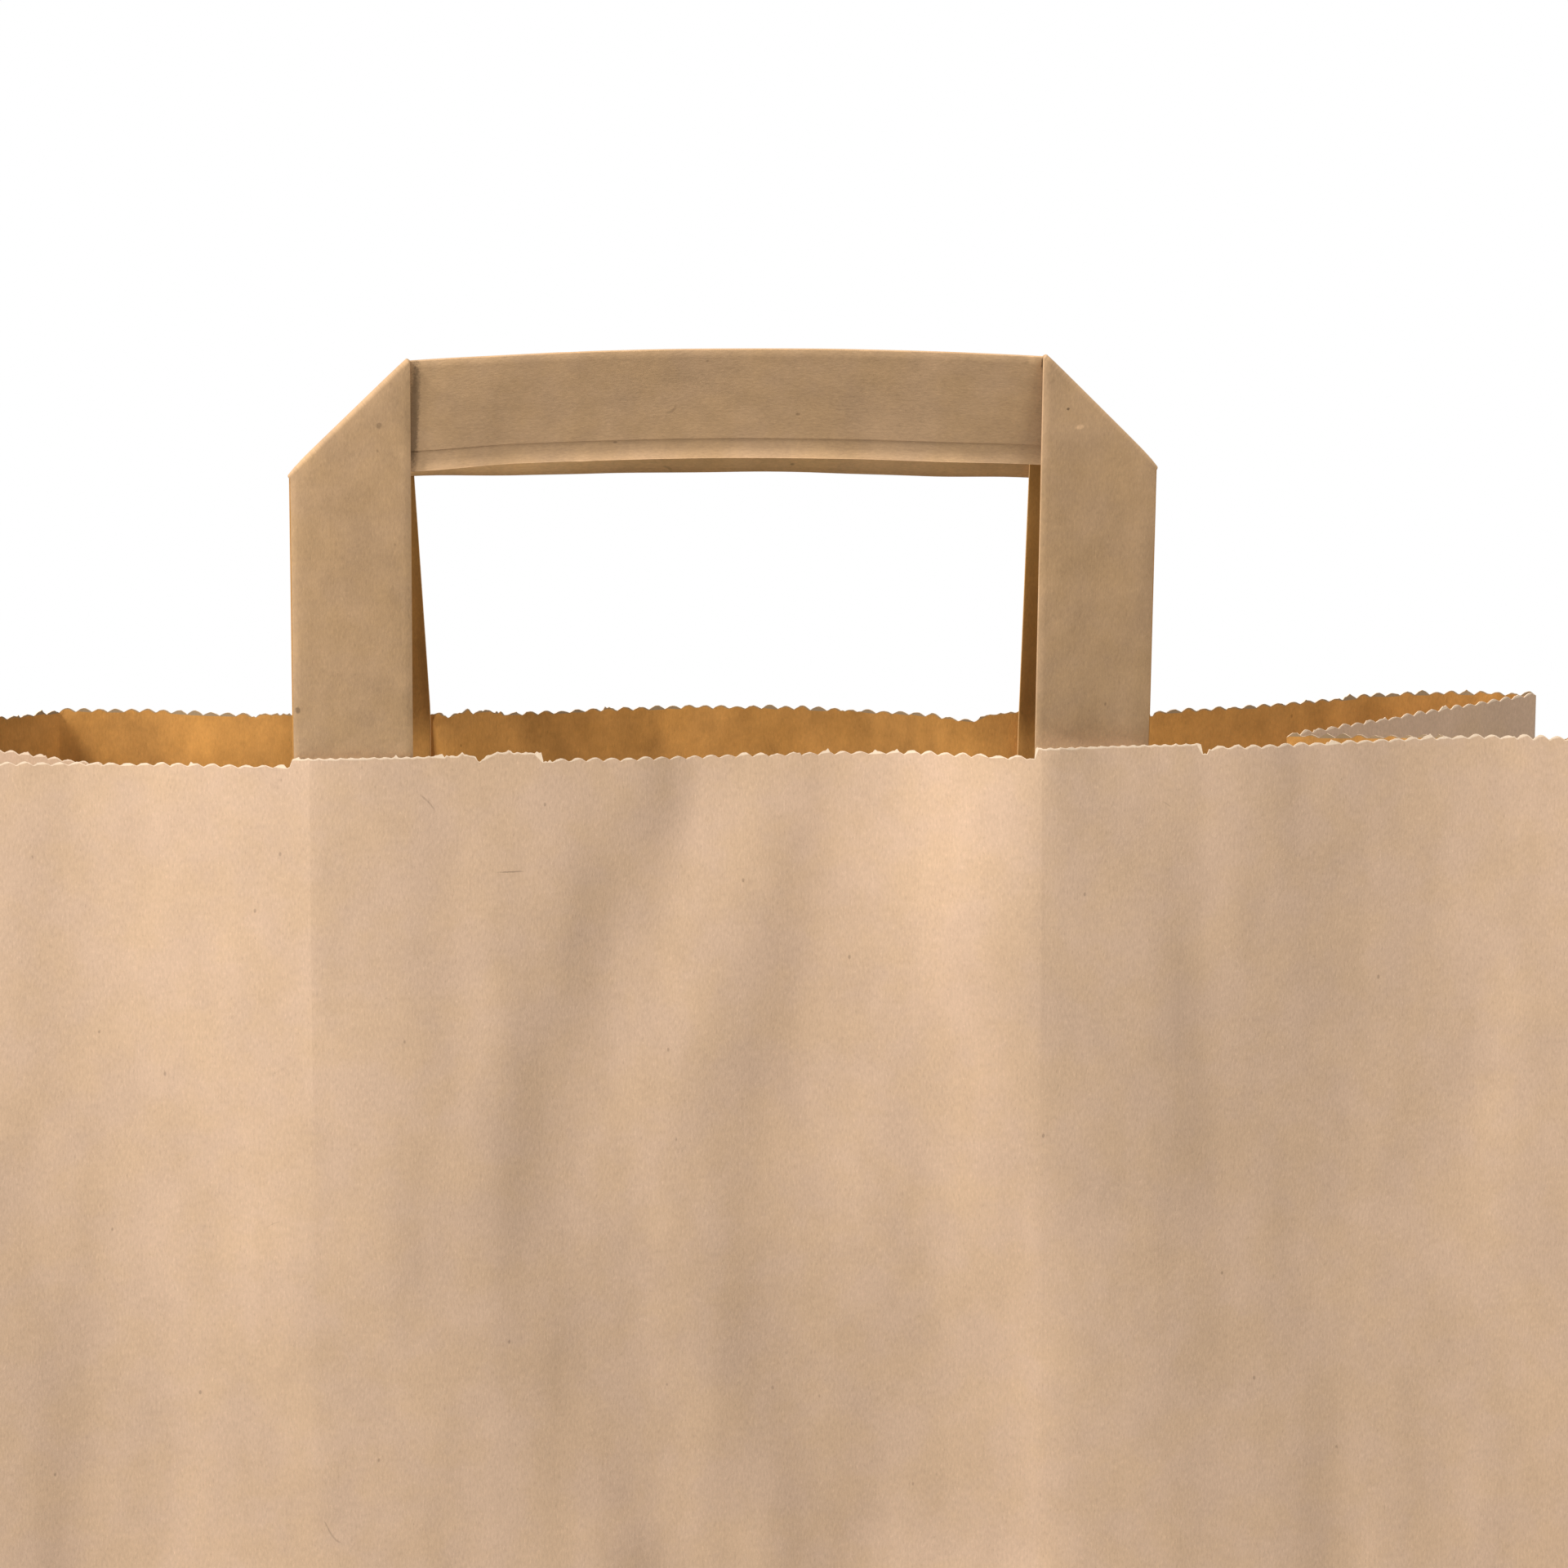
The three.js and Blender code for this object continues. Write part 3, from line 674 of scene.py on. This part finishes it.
def handle_frame(handle):
    """A handle's outer corners at the bend, its upward and inward directions, and its glued depth."""
    depth = GLUE_GAP + 0.5 * STRAP_PLY
    left = on_panel(handle.side, handle.shift - LEG_OUTER, 0, depth)
    right = on_panel(handle.side, handle.shift + LEG_OUTER, 0, depth)
    along = (right - left).normalized()
    level = Vector((-along.y, along.x, 0)) * -handle.side
    up = level * math.sin(handle.lean) + Vector((0, 0, math.cos(handle.lean)))
    inward = level * math.cos(handle.lean) - Vector((0, 0, math.sin(handle.lean)))
    return left, right, up, inward, depth


def stand(local, handle, stands):
    """From the flat handle to its place: free above the bend, glued to the panel below it."""
    left, right, up, inward, depth = stands
    height = max(local.y, 0) / RISE
    if handle.side < 0:
        share = FOOT_SQUEEZE + (1 - FOOT_SQUEEZE) * height
        local.x -= handle.squeeze * (local.x + LEG_OUTER) / SPAN * share
    else:
        local.x -= handle.squeeze * local.x / LEG_OUTER * (SPREAD_FROM - height)
        local.x -= (BACK_LEG_SHIFT + BACK_LEG_LEAN * height) * smooth(local.x / LEG_INNER)
    free = left.lerp(right, (local.x + LEG_OUTER) / SPAN) + up * local.y + inward * local.z
    if local.y > 0:
        return free
    glued = on_panel(handle.side, handle.shift + local.x, local.y, depth + local.z)
    return glued.lerp(free, smooth((local.y + LEG_BEND_DEPTH) / LEG_BEND_RUN))


# The strap's section: points across its faces as shares of the width, and round its edges as angles
EDGE_ROUND = 0.2
LAP_STEP = 0.16
OUTER_FACE = (0, 0.06, 0.15, 0.3, 0.5, 0.7, 0.85, 0.94, 1)
INNER_FACE = (0.92, 0.8, 0.6, 0.4, 0.25, 0.2, 0.184)
LAP_FACE = (0.183, 0.17, 0.1)
EDGE_TURNS = (0.6, 1.2, 1.9, 2.5)
OUTER_POINTS = len(OUTER_FACE) + 1
INNER_START = OUTER_POINTS + 2
INNER_UV = 2.5

# The strap's faces fall away to its edges, more at the legs' outer edge than at the inner edge
OUTER_FALL = 0.4
INNER_FALL = 0.1
FALL_POWER = 7
STRAP_MERGE = 0.00001
STRAP_SMOOTH = 50


def strap_section():
    """Round the section: outer face, rounded edge, inner face with its last ply's lap, rounded edge."""
    half = STRAP_PLY / 2
    edge = EDGE_ROUND / STRAP
    ring = [(edge + (1 - 2 * edge) * t, half) for t in OUTER_FACE]
    ring += [(1 - edge + edge * math.sin(t), half * math.cos(t)) for t in EDGE_TURNS]
    ring += [(a, -half) for a in (1 - edge, *INNER_FACE)]
    ring += [(a, LAP_STEP - half) for a in (*LAP_FACE, edge)]
    ring += [(edge - edge * math.sin(t), -half * math.cos(t)) for t in EDGE_TURNS]
    return ring


def make_handle(name, handle):
    ring = strap_section()
    strap = start_grid(name, len(ring), ALONG)

    def flat_place(co):
        place, step = on_grid(co, len(ring), ALONG)
        column = round(place)
        a = ring[column % len(ring)][0]
        across = a if column <= OUTER_POINTS else INNER_UV - a
        return (across + handle.side) * STRAP * MM, strap_length(a, step) * MM

    write_uv(strap, flat_place)
    # The legs' inner faces take the second material, whose darker orange is painted shade and bounced light
    for polygon in strap.data.polygons:
        column, step = on_grid(polygon.center, len(ring), ALONG)
        if column > INNER_START and min(step, ALONG - step) < LEG_ROWS:
            polygon.material_index = 1
    stands = handle_frame(handle)
    for vertex in strap.data.vertices:
        column, step = on_grid(vertex.co, len(ring), ALONG)
        a, depth = ring[round(column) % len(ring)]
        middle, outward = strap_place(handle, a, step)
        fall = (OUTER_FALL if a < 0.5 else INNER_FALL) * abs(2 * a - 1) ** FALL_POWER
        vertex.co = stand(middle + outward * (depth - fall), handle, stands) * MM
    bpy.ops.object.mode_set(mode="EDIT")
    bpy.ops.mesh.select_all(action="SELECT")
    bpy.ops.mesh.remove_doubles(threshold=STRAP_MERGE)
    bpy.ops.mesh.select_all(action="DESELECT")
    bpy.ops.mesh.select_mode(type="EDGE")
    bpy.ops.mesh.select_non_manifold(extend=False)
    bpy.ops.mesh.edge_face_add()
    bpy.ops.mesh.select_all(action="SELECT")
    bpy.ops.mesh.normals_make_consistent(inside=False)
    bpy.ops.object.mode_set(mode="OBJECT")
    shade(strap, STRAP_SMOOTH)
    return strap


# The strip glued over the leg ends, flat on the panel and draped over each strap
PATCH_LENGTH = 172.0
PATCH_HEIGHT = 50.0
PATCH_DROP = 10.5
PATCH_COLUMNS = 120
PATCH_ROWS = 24
PATCH_LIFT = 0.45
PATCH_PAPER = 0.15
PATCH_SMOOTH = 30
DRAPE_SLACK = 1.0
DRAPE_RUN = 5.0


def make_patch(name, side, shift):
    patch = start_grid(name, PATCH_COLUMNS, PATCH_ROWS)
    write_uv(patch, lambda co: (co.x * PATCH_LENGTH * MM + 2 + side, co.y * PATCH_HEIGHT * MM))
    for vertex in patch.data.vertices:
        x = vertex.co.x * PATCH_LENGTH
        v = BAG_HEIGHT - PATCH_DROP - (0.5 - vertex.co.y) * PATCH_HEIGHT
        beside = abs(abs(x) - (LEG_OUTER + LEG_INNER) / 2) - STRAP / 2 - DRAPE_SLACK
        below = BAG_HEIGHT + BEND - GLUED - DRAPE_SLACK - v
        over = 1 - smooth(max(beside, below, 0) / DRAPE_RUN)
        lift = PATCH_LIFT + over * (STRAP_PLY + GLUE_GAP)
        vertex.co = on_panel(side, shift + x, v - BAG_HEIGHT - BEND, lift) * MM
    patch.data.materials.append(strap_paper)
    bpy.ops.object.mode_set(mode="EDIT")
    bpy.ops.mesh.select_all(action="SELECT")
    if side < 0:
        bpy.ops.mesh.flip_normals()
    bpy.ops.object.mode_set(mode="OBJECT")
    apply_modifier(patch, "SOLIDIFY", thickness=PATCH_PAPER * MM, offset=-1)
    shade(patch, PATCH_SMOOTH)
    return patch


# A flap of the block bottom, with slanted ends, under the floor of the bag
FLAP_DEPTH = 72.5
FLAP_INSET = 1.0
FLAP_GRAIN = 70.0
FLAP_COLUMNS = 40
FLAP_ROWS = 12
FLAP_PAPER = 0.12
LAP_START = 20.0
LAP_RUN = 25.0


def make_flap(name, side, low, high):
    """A flap from its fold inwards; low is its height at the fold and high its height past the lap."""
    flap = start_grid(name, FLAP_COLUMNS, FLAP_ROWS)
    write_uv(flap, lambda co: (co.x * BAG_WIDTH * MM + 3 + side, co.y * FLAP_GRAIN * MM))
    for vertex in flap.data.vertices:
        depth = FLAP_INSET + (FLAP_DEPTH - FLAP_INSET) * (vertex.co.y + 0.5)
        x = 2 * vertex.co.x * (HALF_WIDTH - FLAP_INSET - depth)
        z = low + (high - low) * smooth((depth - LAP_START) / LAP_RUN)
        vertex.co = Vector((-side * x, side * (HALF_GUSSET - depth), z)) * MM
    flap.data.materials.append(outside_paper)
    apply_modifier(flap, "SOLIDIFY", thickness=FLAP_PAPER * MM, offset=0)
    return flap


# Papers
def new_group(name, inputs, outputs):
    group = bpy.data.node_groups.new(name, "ShaderNodeTree")
    for label, kind in inputs:
        group.interface.new_socket(label, in_out="INPUT", socket_type=kind)
    for label, kind in outputs:
        group.interface.new_socket(label, in_out="OUTPUT", socket_type=kind)
    entry = group.nodes.new("NodeGroupInput")
    leave = group.nodes.new("NodeGroupOutput")
    return group, entry.outputs, leave.inputs


class Web:
    """Short ways to add nodes to a tree and join them."""

    def __init__(self, tree):
        self.tree = tree

    def join(self, source, socket):
        if hasattr(source, "is_output"):
            self.tree.links.new(source, socket)
        else:
            socket.default_value = source

    def math(self, operation, first, second=0.0):
        node = self.tree.nodes.new("ShaderNodeMath")
        node.operation = operation
        self.join(first, node.inputs[0])
        self.join(second, node.inputs[1])
        return node.outputs[0]

    def ramp(self, value, low, high):
        node = self.tree.nodes.new("ShaderNodeMapRange")
        node.interpolation_type = "SMOOTHSTEP"
        for source, socket in zip((value, low, high), node.inputs):
            self.join(source, socket)
        return node.outputs[0]

    def noise(self, place, scale, detail, rough):
        node = self.tree.nodes.new("ShaderNodeTexNoise")
        self.join(place, node.inputs["Vector"])
        node.inputs["Scale"].default_value = scale
        node.inputs["Detail"].default_value = detail
        node.inputs["Roughness"].default_value = rough
        return node.outputs[0]

    def stretched(self, place, rates, detail, rough):
        return self.noise(self.vector("MULTIPLY", place, rates), 1, detail, rough)

    def vector(self, operation, first, second):
        node = self.tree.nodes.new("ShaderNodeVectorMath")
        node.operation = operation
        self.join(first, node.inputs[0])
        self.join(second, node.inputs["Scale"] if operation == "SCALE" else node.inputs[1])
        return node.outputs["Value" if operation == "LENGTH" else "Vector"]


# What the kraft paper shows: rates per metre across and up the sheet, and how much each changes the colour
CLOUD_RATES = (85, 40, 1)
CLOUD_AMOUNT = 0.34
BLOTCH_RATES = (260, 160, 1)
BLOTCH_AMOUNT = 0.26
GRAIN_RATES = (2300, 1000, 1)
GRAIN_AMOUNT = 0.3
FLECK_RATES = (4000, 1150, 1)
FLECK_AMOUNT = 0.1
SPECK_RATES = (240, 150, 1)
SPECK_CHOICE_RATE = 190
SPECK_AMOUNT = 0.3
HAIR_RATE = 42
HAIR_CHOICE_RATE = 70
HAIR_CHOICE_PLACE = (3.1, 0.7, 0)
HAIR_AMOUNT = 0.22
WARMTH_RATE = 85
WARMTH_PLACE = (0.9, 2.3, 0)
COOL_TINT = (1.0, 1.005, 1.035)
WARM_CHANGE = (0.0, -0.012, -0.075)
GRAIN_HEIGHT = 0.6
BLOTCH_HEIGHT = 0.7


def kraft_group():
    group, given, result = new_group(
        "kraft_fibres",
        [
            ("Place", "NodeSocketVector"),
            ("Paper", "NodeSocketColor"),
            ("Blotches", "NodeSocketFloat"),
            ("Fibres", "NodeSocketFloat"),
        ],
        [("Colour", "NodeSocketColor"), ("Height", "NodeSocketFloat")],
    )
    web = Web(group)
    place = given["Place"]

    def about_zero(value, amount):
        return web.math("MULTIPLY", web.math("SUBTRACT", value, 0.5), amount)

    def both(first, second, amount):
        return web.math("MULTIPLY", web.math("MULTIPLY", first, second), amount)

    # Uneven pulp: wide clouds and smaller blotches
    cloud = web.stretched(place, CLOUD_RATES, detail=3, rough=0.6)
    blotch = web.stretched(place, BLOTCH_RATES, detail=3, rough=0.65)
    pulp = web.math("ADD", about_zero(cloud, CLOUD_AMOUNT), about_zero(blotch, BLOTCH_AMOUNT))
    # Short fibres that lie along the sheet
    grain = web.stretched(place, GRAIN_RATES, detail=2, rough=0.6)
    fleck = web.stretched(place, FLECK_RATES, detail=1, rough=0.5)
    light = web.math("MULTIPLY", web.ramp(fleck, 0.6, 0.74), FLECK_AMOUNT)
    dark = web.math("MULTIPLY", web.ramp(fleck, 0.38, 0.26), FLECK_AMOUNT)
    fibres = web.math("ADD", about_zero(grain, GRAIN_AMOUNT), web.math("SUBTRACT", light, dark))
    # Sparse dark specks
    cells = group.nodes.new("ShaderNodeTexVoronoi")
    web.join(web.vector("MULTIPLY", place, SPECK_RATES), cells.inputs["Vector"])
    cells.inputs["Scale"].default_value = 1
    spot = web.ramp(cells.outputs["Distance"], 0.075, 0.035)
    spot_chosen = web.ramp(web.noise(place, SPECK_CHOICE_RATE, detail=0, rough=0), 0.58, 0.62)
    specks = both(spot, spot_chosen, SPECK_AMOUNT)
    # A few long hairs
    path = web.math("ABSOLUTE", about_zero(web.noise(place, HAIR_RATE, detail=1, rough=0.5), 1.0))
    hair = web.ramp(path, 0.0045, 0.002)
    elsewhere = web.vector("ADD", place, HAIR_CHOICE_PLACE)
    hair_chosen = web.ramp(web.noise(elsewhere, HAIR_CHOICE_RATE, detail=0, rough=0), 0.78, 0.8)
    hairs = both(hair, hair_chosen, HAIR_AMOUNT)
    fibres = web.math("SUBTRACT", fibres, web.math("ADD", specks, hairs))

    pulp = web.math("MULTIPLY", pulp, given["Blotches"])
    fibres = web.math("MULTIPLY", fibres, given["Fibres"])
    level = web.math("ADD", web.math("ADD", pulp, fibres), 1.0)
    # Yellower and pinker stretches
    elsewhere = web.vector("ADD", place, WARMTH_PLACE)
    warmth = web.ramp(web.noise(elsewhere, WARMTH_RATE, detail=3, rough=0.6), 0.35, 0.65)
    tint = web.vector("ADD", web.vector("SCALE", WARM_CHANGE, warmth), COOL_TINT)
    even = web.vector("SCALE", given["Paper"], level)
    web.join(web.vector("MULTIPLY", even, tint), result["Colour"])
    height = web.math("MULTIPLY", grain, GRAIN_HEIGHT)
    height = web.math("ADD", height, web.math("MULTIPLY", blotch, BLOTCH_HEIGHT))
    web.join(height, result["Height"])
    return group


KRAFT = kraft_group()
RAGGED_RATE = 2500


def tone_spot_group():
    """A small oval spot on the sheet, as a mask with a ragged edge, for marks and for painted shade and
    highlights.
    """
    group, given, result = new_group(
        "paper_tone_spot",
        [("Place", "NodeSocketVector"), ("Centre", "NodeSocketVector"), ("Reach", "NodeSocketVector")],
        [("Mask", "NodeSocketFloat")],
    )
    web = Web(group)
    apart = web.vector("SUBTRACT", given["Place"], given["Centre"])
    apart = web.vector("DIVIDE", apart, given["Reach"])
    ragged = web.noise(given["Place"], RAGGED_RATE, detail=2, rough=0.6)
    far = web.math("ADD", web.vector("LENGTH", apart, (0, 0, 0)), ragged)
    web.join(web.ramp(far, 1.6, 1.0), result["Mask"])
    return group


TONE_SPOT = tone_spot_group()
CUT_EDGE_FADE = (0.86, 0.97)
BUMP_STRENGTH = 0.3
BUMP_DISTANCE = 0.0002
PAPER_SHEEN = 0.2


def paper(name, colour, rough, blotches, edge=None, marks_and_shade=()):
    """Kraft paper, with a colour over the top row of its cut edge, and its marks and painted shade."""
    material = bpy.data.materials.new(name)
    material.use_nodes = True
    tree = material.node_tree
    web = Web(tree)
    shader = tree.nodes["Principled BSDF"]
    sheet = tree.nodes.new("ShaderNodeUVMap")
    sheet.uv_map = "sheet"
    kraft = tree.nodes.new("ShaderNodeGroup")
    kraft.node_tree = KRAFT
    web.join(sheet.outputs["UV"], kraft.inputs["Place"])
    kraft.inputs["Paper"].default_value = (*colour, 1)
    kraft.inputs["Blotches"].default_value = blotches
    kraft.inputs["Fibres"].default_value = 1.0
    finish = kraft.outputs["Colour"]
    # Each spot darkens the colour by its darkness and lightens it where that is below zero; some spots are
    # painted shade and painted highlights
    for across, up, half_width, half_height, darkness in marks_and_shade:
        spot_node = tree.nodes.new("ShaderNodeGroup")
        spot_node.node_tree = TONE_SPOT
        web.join(sheet.outputs["UV"], spot_node.inputs["Place"])
        spot_node.inputs["Centre"].default_value = (across * MM, up * MM, 0)
        spot_node.inputs["Reach"].default_value = (half_width * MM, half_height * MM, 1)
        level = web.math("SUBTRACT", 1.0, web.math("MULTIPLY", spot_node.outputs["Mask"], darkness))
        finish = web.vector("SCALE", finish, level)
    if edge:
        rim = tree.nodes.new("ShaderNodeAttribute")
        rim.attribute_name = "cut_edge"
        blend = tree.nodes.new("ShaderNodeMix")
        blend.data_type = "RGBA"
        web.join(web.ramp(rim.outputs["Fac"], *CUT_EDGE_FADE), blend.inputs["Factor"])
        web.join(finish, blend.inputs["A"])
        blend.inputs["B"].default_value = (*edge, 1)
        finish = blend.outputs["Result"]
    web.join(finish, shader.inputs["Base Color"])
    bump = tree.nodes.new("ShaderNodeBump")
    bump.inputs["Strength"].default_value = BUMP_STRENGTH
    bump.inputs["Distance"].default_value = BUMP_DISTANCE
    web.join(kraft.outputs["Height"], bump.inputs["Height"])
    web.join(bump.outputs["Normal"], shader.inputs["Normal"])
    shader.inputs["Roughness"].default_value = rough
    shader.inputs["Specular IOR Level"].default_value = PAPER_SHEEN
    return material


def plain(name, colour, rough):
    material = bpy.data.materials.new(name)
    material.use_nodes = True
    shader = material.node_tree.nodes["Principled BSDF"]
    shader.inputs["Base Color"].default_value = (*colour, 1)
    shader.inputs["Roughness"].default_value = rough
    return material


# Marks and painted shade as (across, up, half width, half height, darkness), in millimetres on the flat
# strap: a stain and the painted shade of a dent on the left leg, a speck and a scuff on the right leg, the
# painted shade of a pinch with a painted highlight along its crease where the bar goes into its right fold,
# and a painted shadow of the left leg on the bar where the bar comes out of the left fold
STRAP_MARKS_AND_SHADE = [
    (-19.8, 53.5, 0.5, 0.7, 0.45),
    (-5.4, 103.6, 0.7, 0.6, 0.3),
    (-4.6, 232.6, 0.3, 0.3, 0.6),
    (-6.7, 236.0, 0.9, 0.5, -0.35),
    (11.6, 223.4, 1.5, 0.4, 0.6),
    (11.0, 221.3, 1.3, 0.7, -0.15),
    (20.8, 115.6, 12.5, 1.1, 0.42),
]
# A long brown fibre in the front panel
PANEL_MARKS = [(121.4, 380.0, 2.6, 0.14, 0.4)]

# The outside paper's light band along the cut edge is lighter cut fibres, partly a painted highlight where
# the edge catches the light
outside_paper = paper(
    "kraft_outside",
    colour=(0.565, 0.385, 0.252),
    rough=0.85,
    blotches=0.6,
    edge=(0.8, 0.62, 0.44),
    marks_and_shade=PANEL_MARKS,
)
# Painted light and shade: the inside paper's deep orange stands in for light shining through the sheet and
# bouncing between its faces, and its dark colour along the cut edge is painted shade on the tops of the
# teeth
inside_paper_painted_glow = paper(
    "kraft_inside_painted_glow", colour=(0.555, 0.265, 0.066), rough=0.9, blotches=2.4, edge=(0.36, 0.25, 0.14)
)
# The cut edge's light colour is lighter cut fibres, partly a painted highlight where the edge catches the
# light
cut_paper = paper("kraft_cut_edge", colour=(0.78, 0.58, 0.41), rough=0.9, blotches=1.5)
strap_paper = paper(
    "kraft_strap", colour=(0.5, 0.315, 0.168), rough=0.85, blotches=1.35, marks_and_shade=STRAP_MARKS_AND_SHADE
)
# Painted light: the back strap is the same paper as the front one, made lighter and more orange to stand in
# for light wrapping into the front handle's shadow
back_strap_painted_light = paper("kraft_back_strap_painted_light", colour=(0.74, 0.45, 0.2), rough=0.85, blotches=1.35)
# Painted shade: the legs' inner faces are darker and more orange to stand in for the shade between the
# straps and the light bounced off the bag's inside
strap_inside_painted_shade = paper("kraft_strap_inside_painted_shade", colour=(0.42, 0.2, 0.05), rough=0.9, blotches=1.4)

# The pieces, each in the place of its solid
bag = make_bag()
front_flap = make_flap("front_flap", -1, low=0.21, high=0.21)
back_flap = make_flap("back_flap", 1, low=0.2, high=0.065)
rest_selection()
for piece in (front_flap, back_flap, bag):
    piece.select_set(True)
bpy.context.view_layer.objects.active = bag
bpy.ops.object.join()
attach(bag, "root")
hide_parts("bag_body")

front_handle = make_handle("front_strap", FRONT_HANDLE)
back_handle = make_handle("back_strap", BACK_HANDLE)
straps = ((front_handle, "front_handle", strap_paper), (back_handle, "back_handle", back_strap_painted_light))
for piece, node, finish in straps:
    piece.data.materials.append(finish)
    piece.data.materials.append(strap_inside_painted_shade)
    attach(piece, "root")
    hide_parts(node)

for side, shift, node in ((-1, 0.0, "front_patch"), (1, BACK_SHIFT, "back_patch")):
    strip = make_patch(node + "_strip", side, shift)
    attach(strip, "root")
    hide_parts(node)

# Floor, in metres as the light and camera are
FLOOR_SIZE = 1.8
rest_selection()
bpy.ops.mesh.primitive_plane_add(size=FLOOR_SIZE)
floor = bpy.context.object
floor.name = "studio_floor"
floor.data.materials.append(plain("pale_floor", (0.5, 0.5, 0.5), rough=0.9))

# A world that lights the bag softly and shows white behind it
AMBIENT = 0.13
world = bpy.data.worlds.new("studio")
bpy.context.scene.world = world
world.use_nodes = True
nodes, links = world.node_tree.nodes, world.node_tree.links
nodes.clear()
output = nodes.new("ShaderNodeOutputWorld")
mix = nodes.new("ShaderNodeMixShader")
ambient = nodes.new("ShaderNodeBackground")
ambient.inputs["Strength"].default_value = AMBIENT
white = nodes.new("ShaderNodeBackground")
white.inputs["Color"].default_value = (1, 1, 1, 1)
path = nodes.new("ShaderNodeLightPath")
seen = nodes.new("ShaderNodeMath")
seen.operation = "MAXIMUM"
links.new(path.outputs["Is Camera Ray"], seen.inputs[0])
links.new(path.outputs["Is Glossy Ray"], seen.inputs[1])
links.new(seen.outputs[0], mix.inputs[0])
links.new(ambient.outputs[0], mix.inputs[1])
links.new(white.outputs[0], mix.inputs[2])
links.new(mix.outputs[0], output.inputs["Surface"])


def area_light(name, place, target, size, power):
    data = bpy.data.lights.new(name, "AREA")
    data.size = size
    data.energy = power
    lamp = bpy.data.objects.new(name, data)
    bpy.context.scene.collection.objects.link(lamp)
    lamp.location = place
    lamp.rotation_euler = (Vector(target) - Vector(place)).to_track_quat("-Z", "Y").to_euler()


area_light("key", place=(-1.12, -0.47, 1.5), target=(0, -0.03, 0.38), size=0.3, power=32)
area_light("side", place=(-1.0, -0.75, 0.62), target=(0, -0.03, 0.42), size=0.25, power=6.5)
area_light("overhead", place=(0.42, -0.3, 0.95), target=(0.03, -0.03, 0.38), size=0.4, power=4.5)

# The camera: its focal length in pixels of the picture's width, and its place and turn
PICTURE_WIDTH = 1920
FOCAL_PIXELS = 6640
SENSOR_WIDTH = 36
CAMERA_PLACE = (-0.06326, -0.96105, 0.54547)
CAMERA_TILT = math.radians(80.8)
CAMERA_YAW = math.radians(-4.5)
camera_data = bpy.data.cameras.new("camera")
camera_data.sensor_width = SENSOR_WIDTH
camera_data.lens = FOCAL_PIXELS / PICTURE_WIDTH * SENSOR_WIDTH
camera = bpy.data.objects.new("camera", camera_data)
bpy.context.scene.collection.objects.link(camera)
camera.location = CAMERA_PLACE
camera.rotation_euler = (CAMERA_TILT, 0, CAMERA_YAW)
bpy.context.scene.camera = camera
bpy.context.scene.view_settings.view_transform = "Standard"
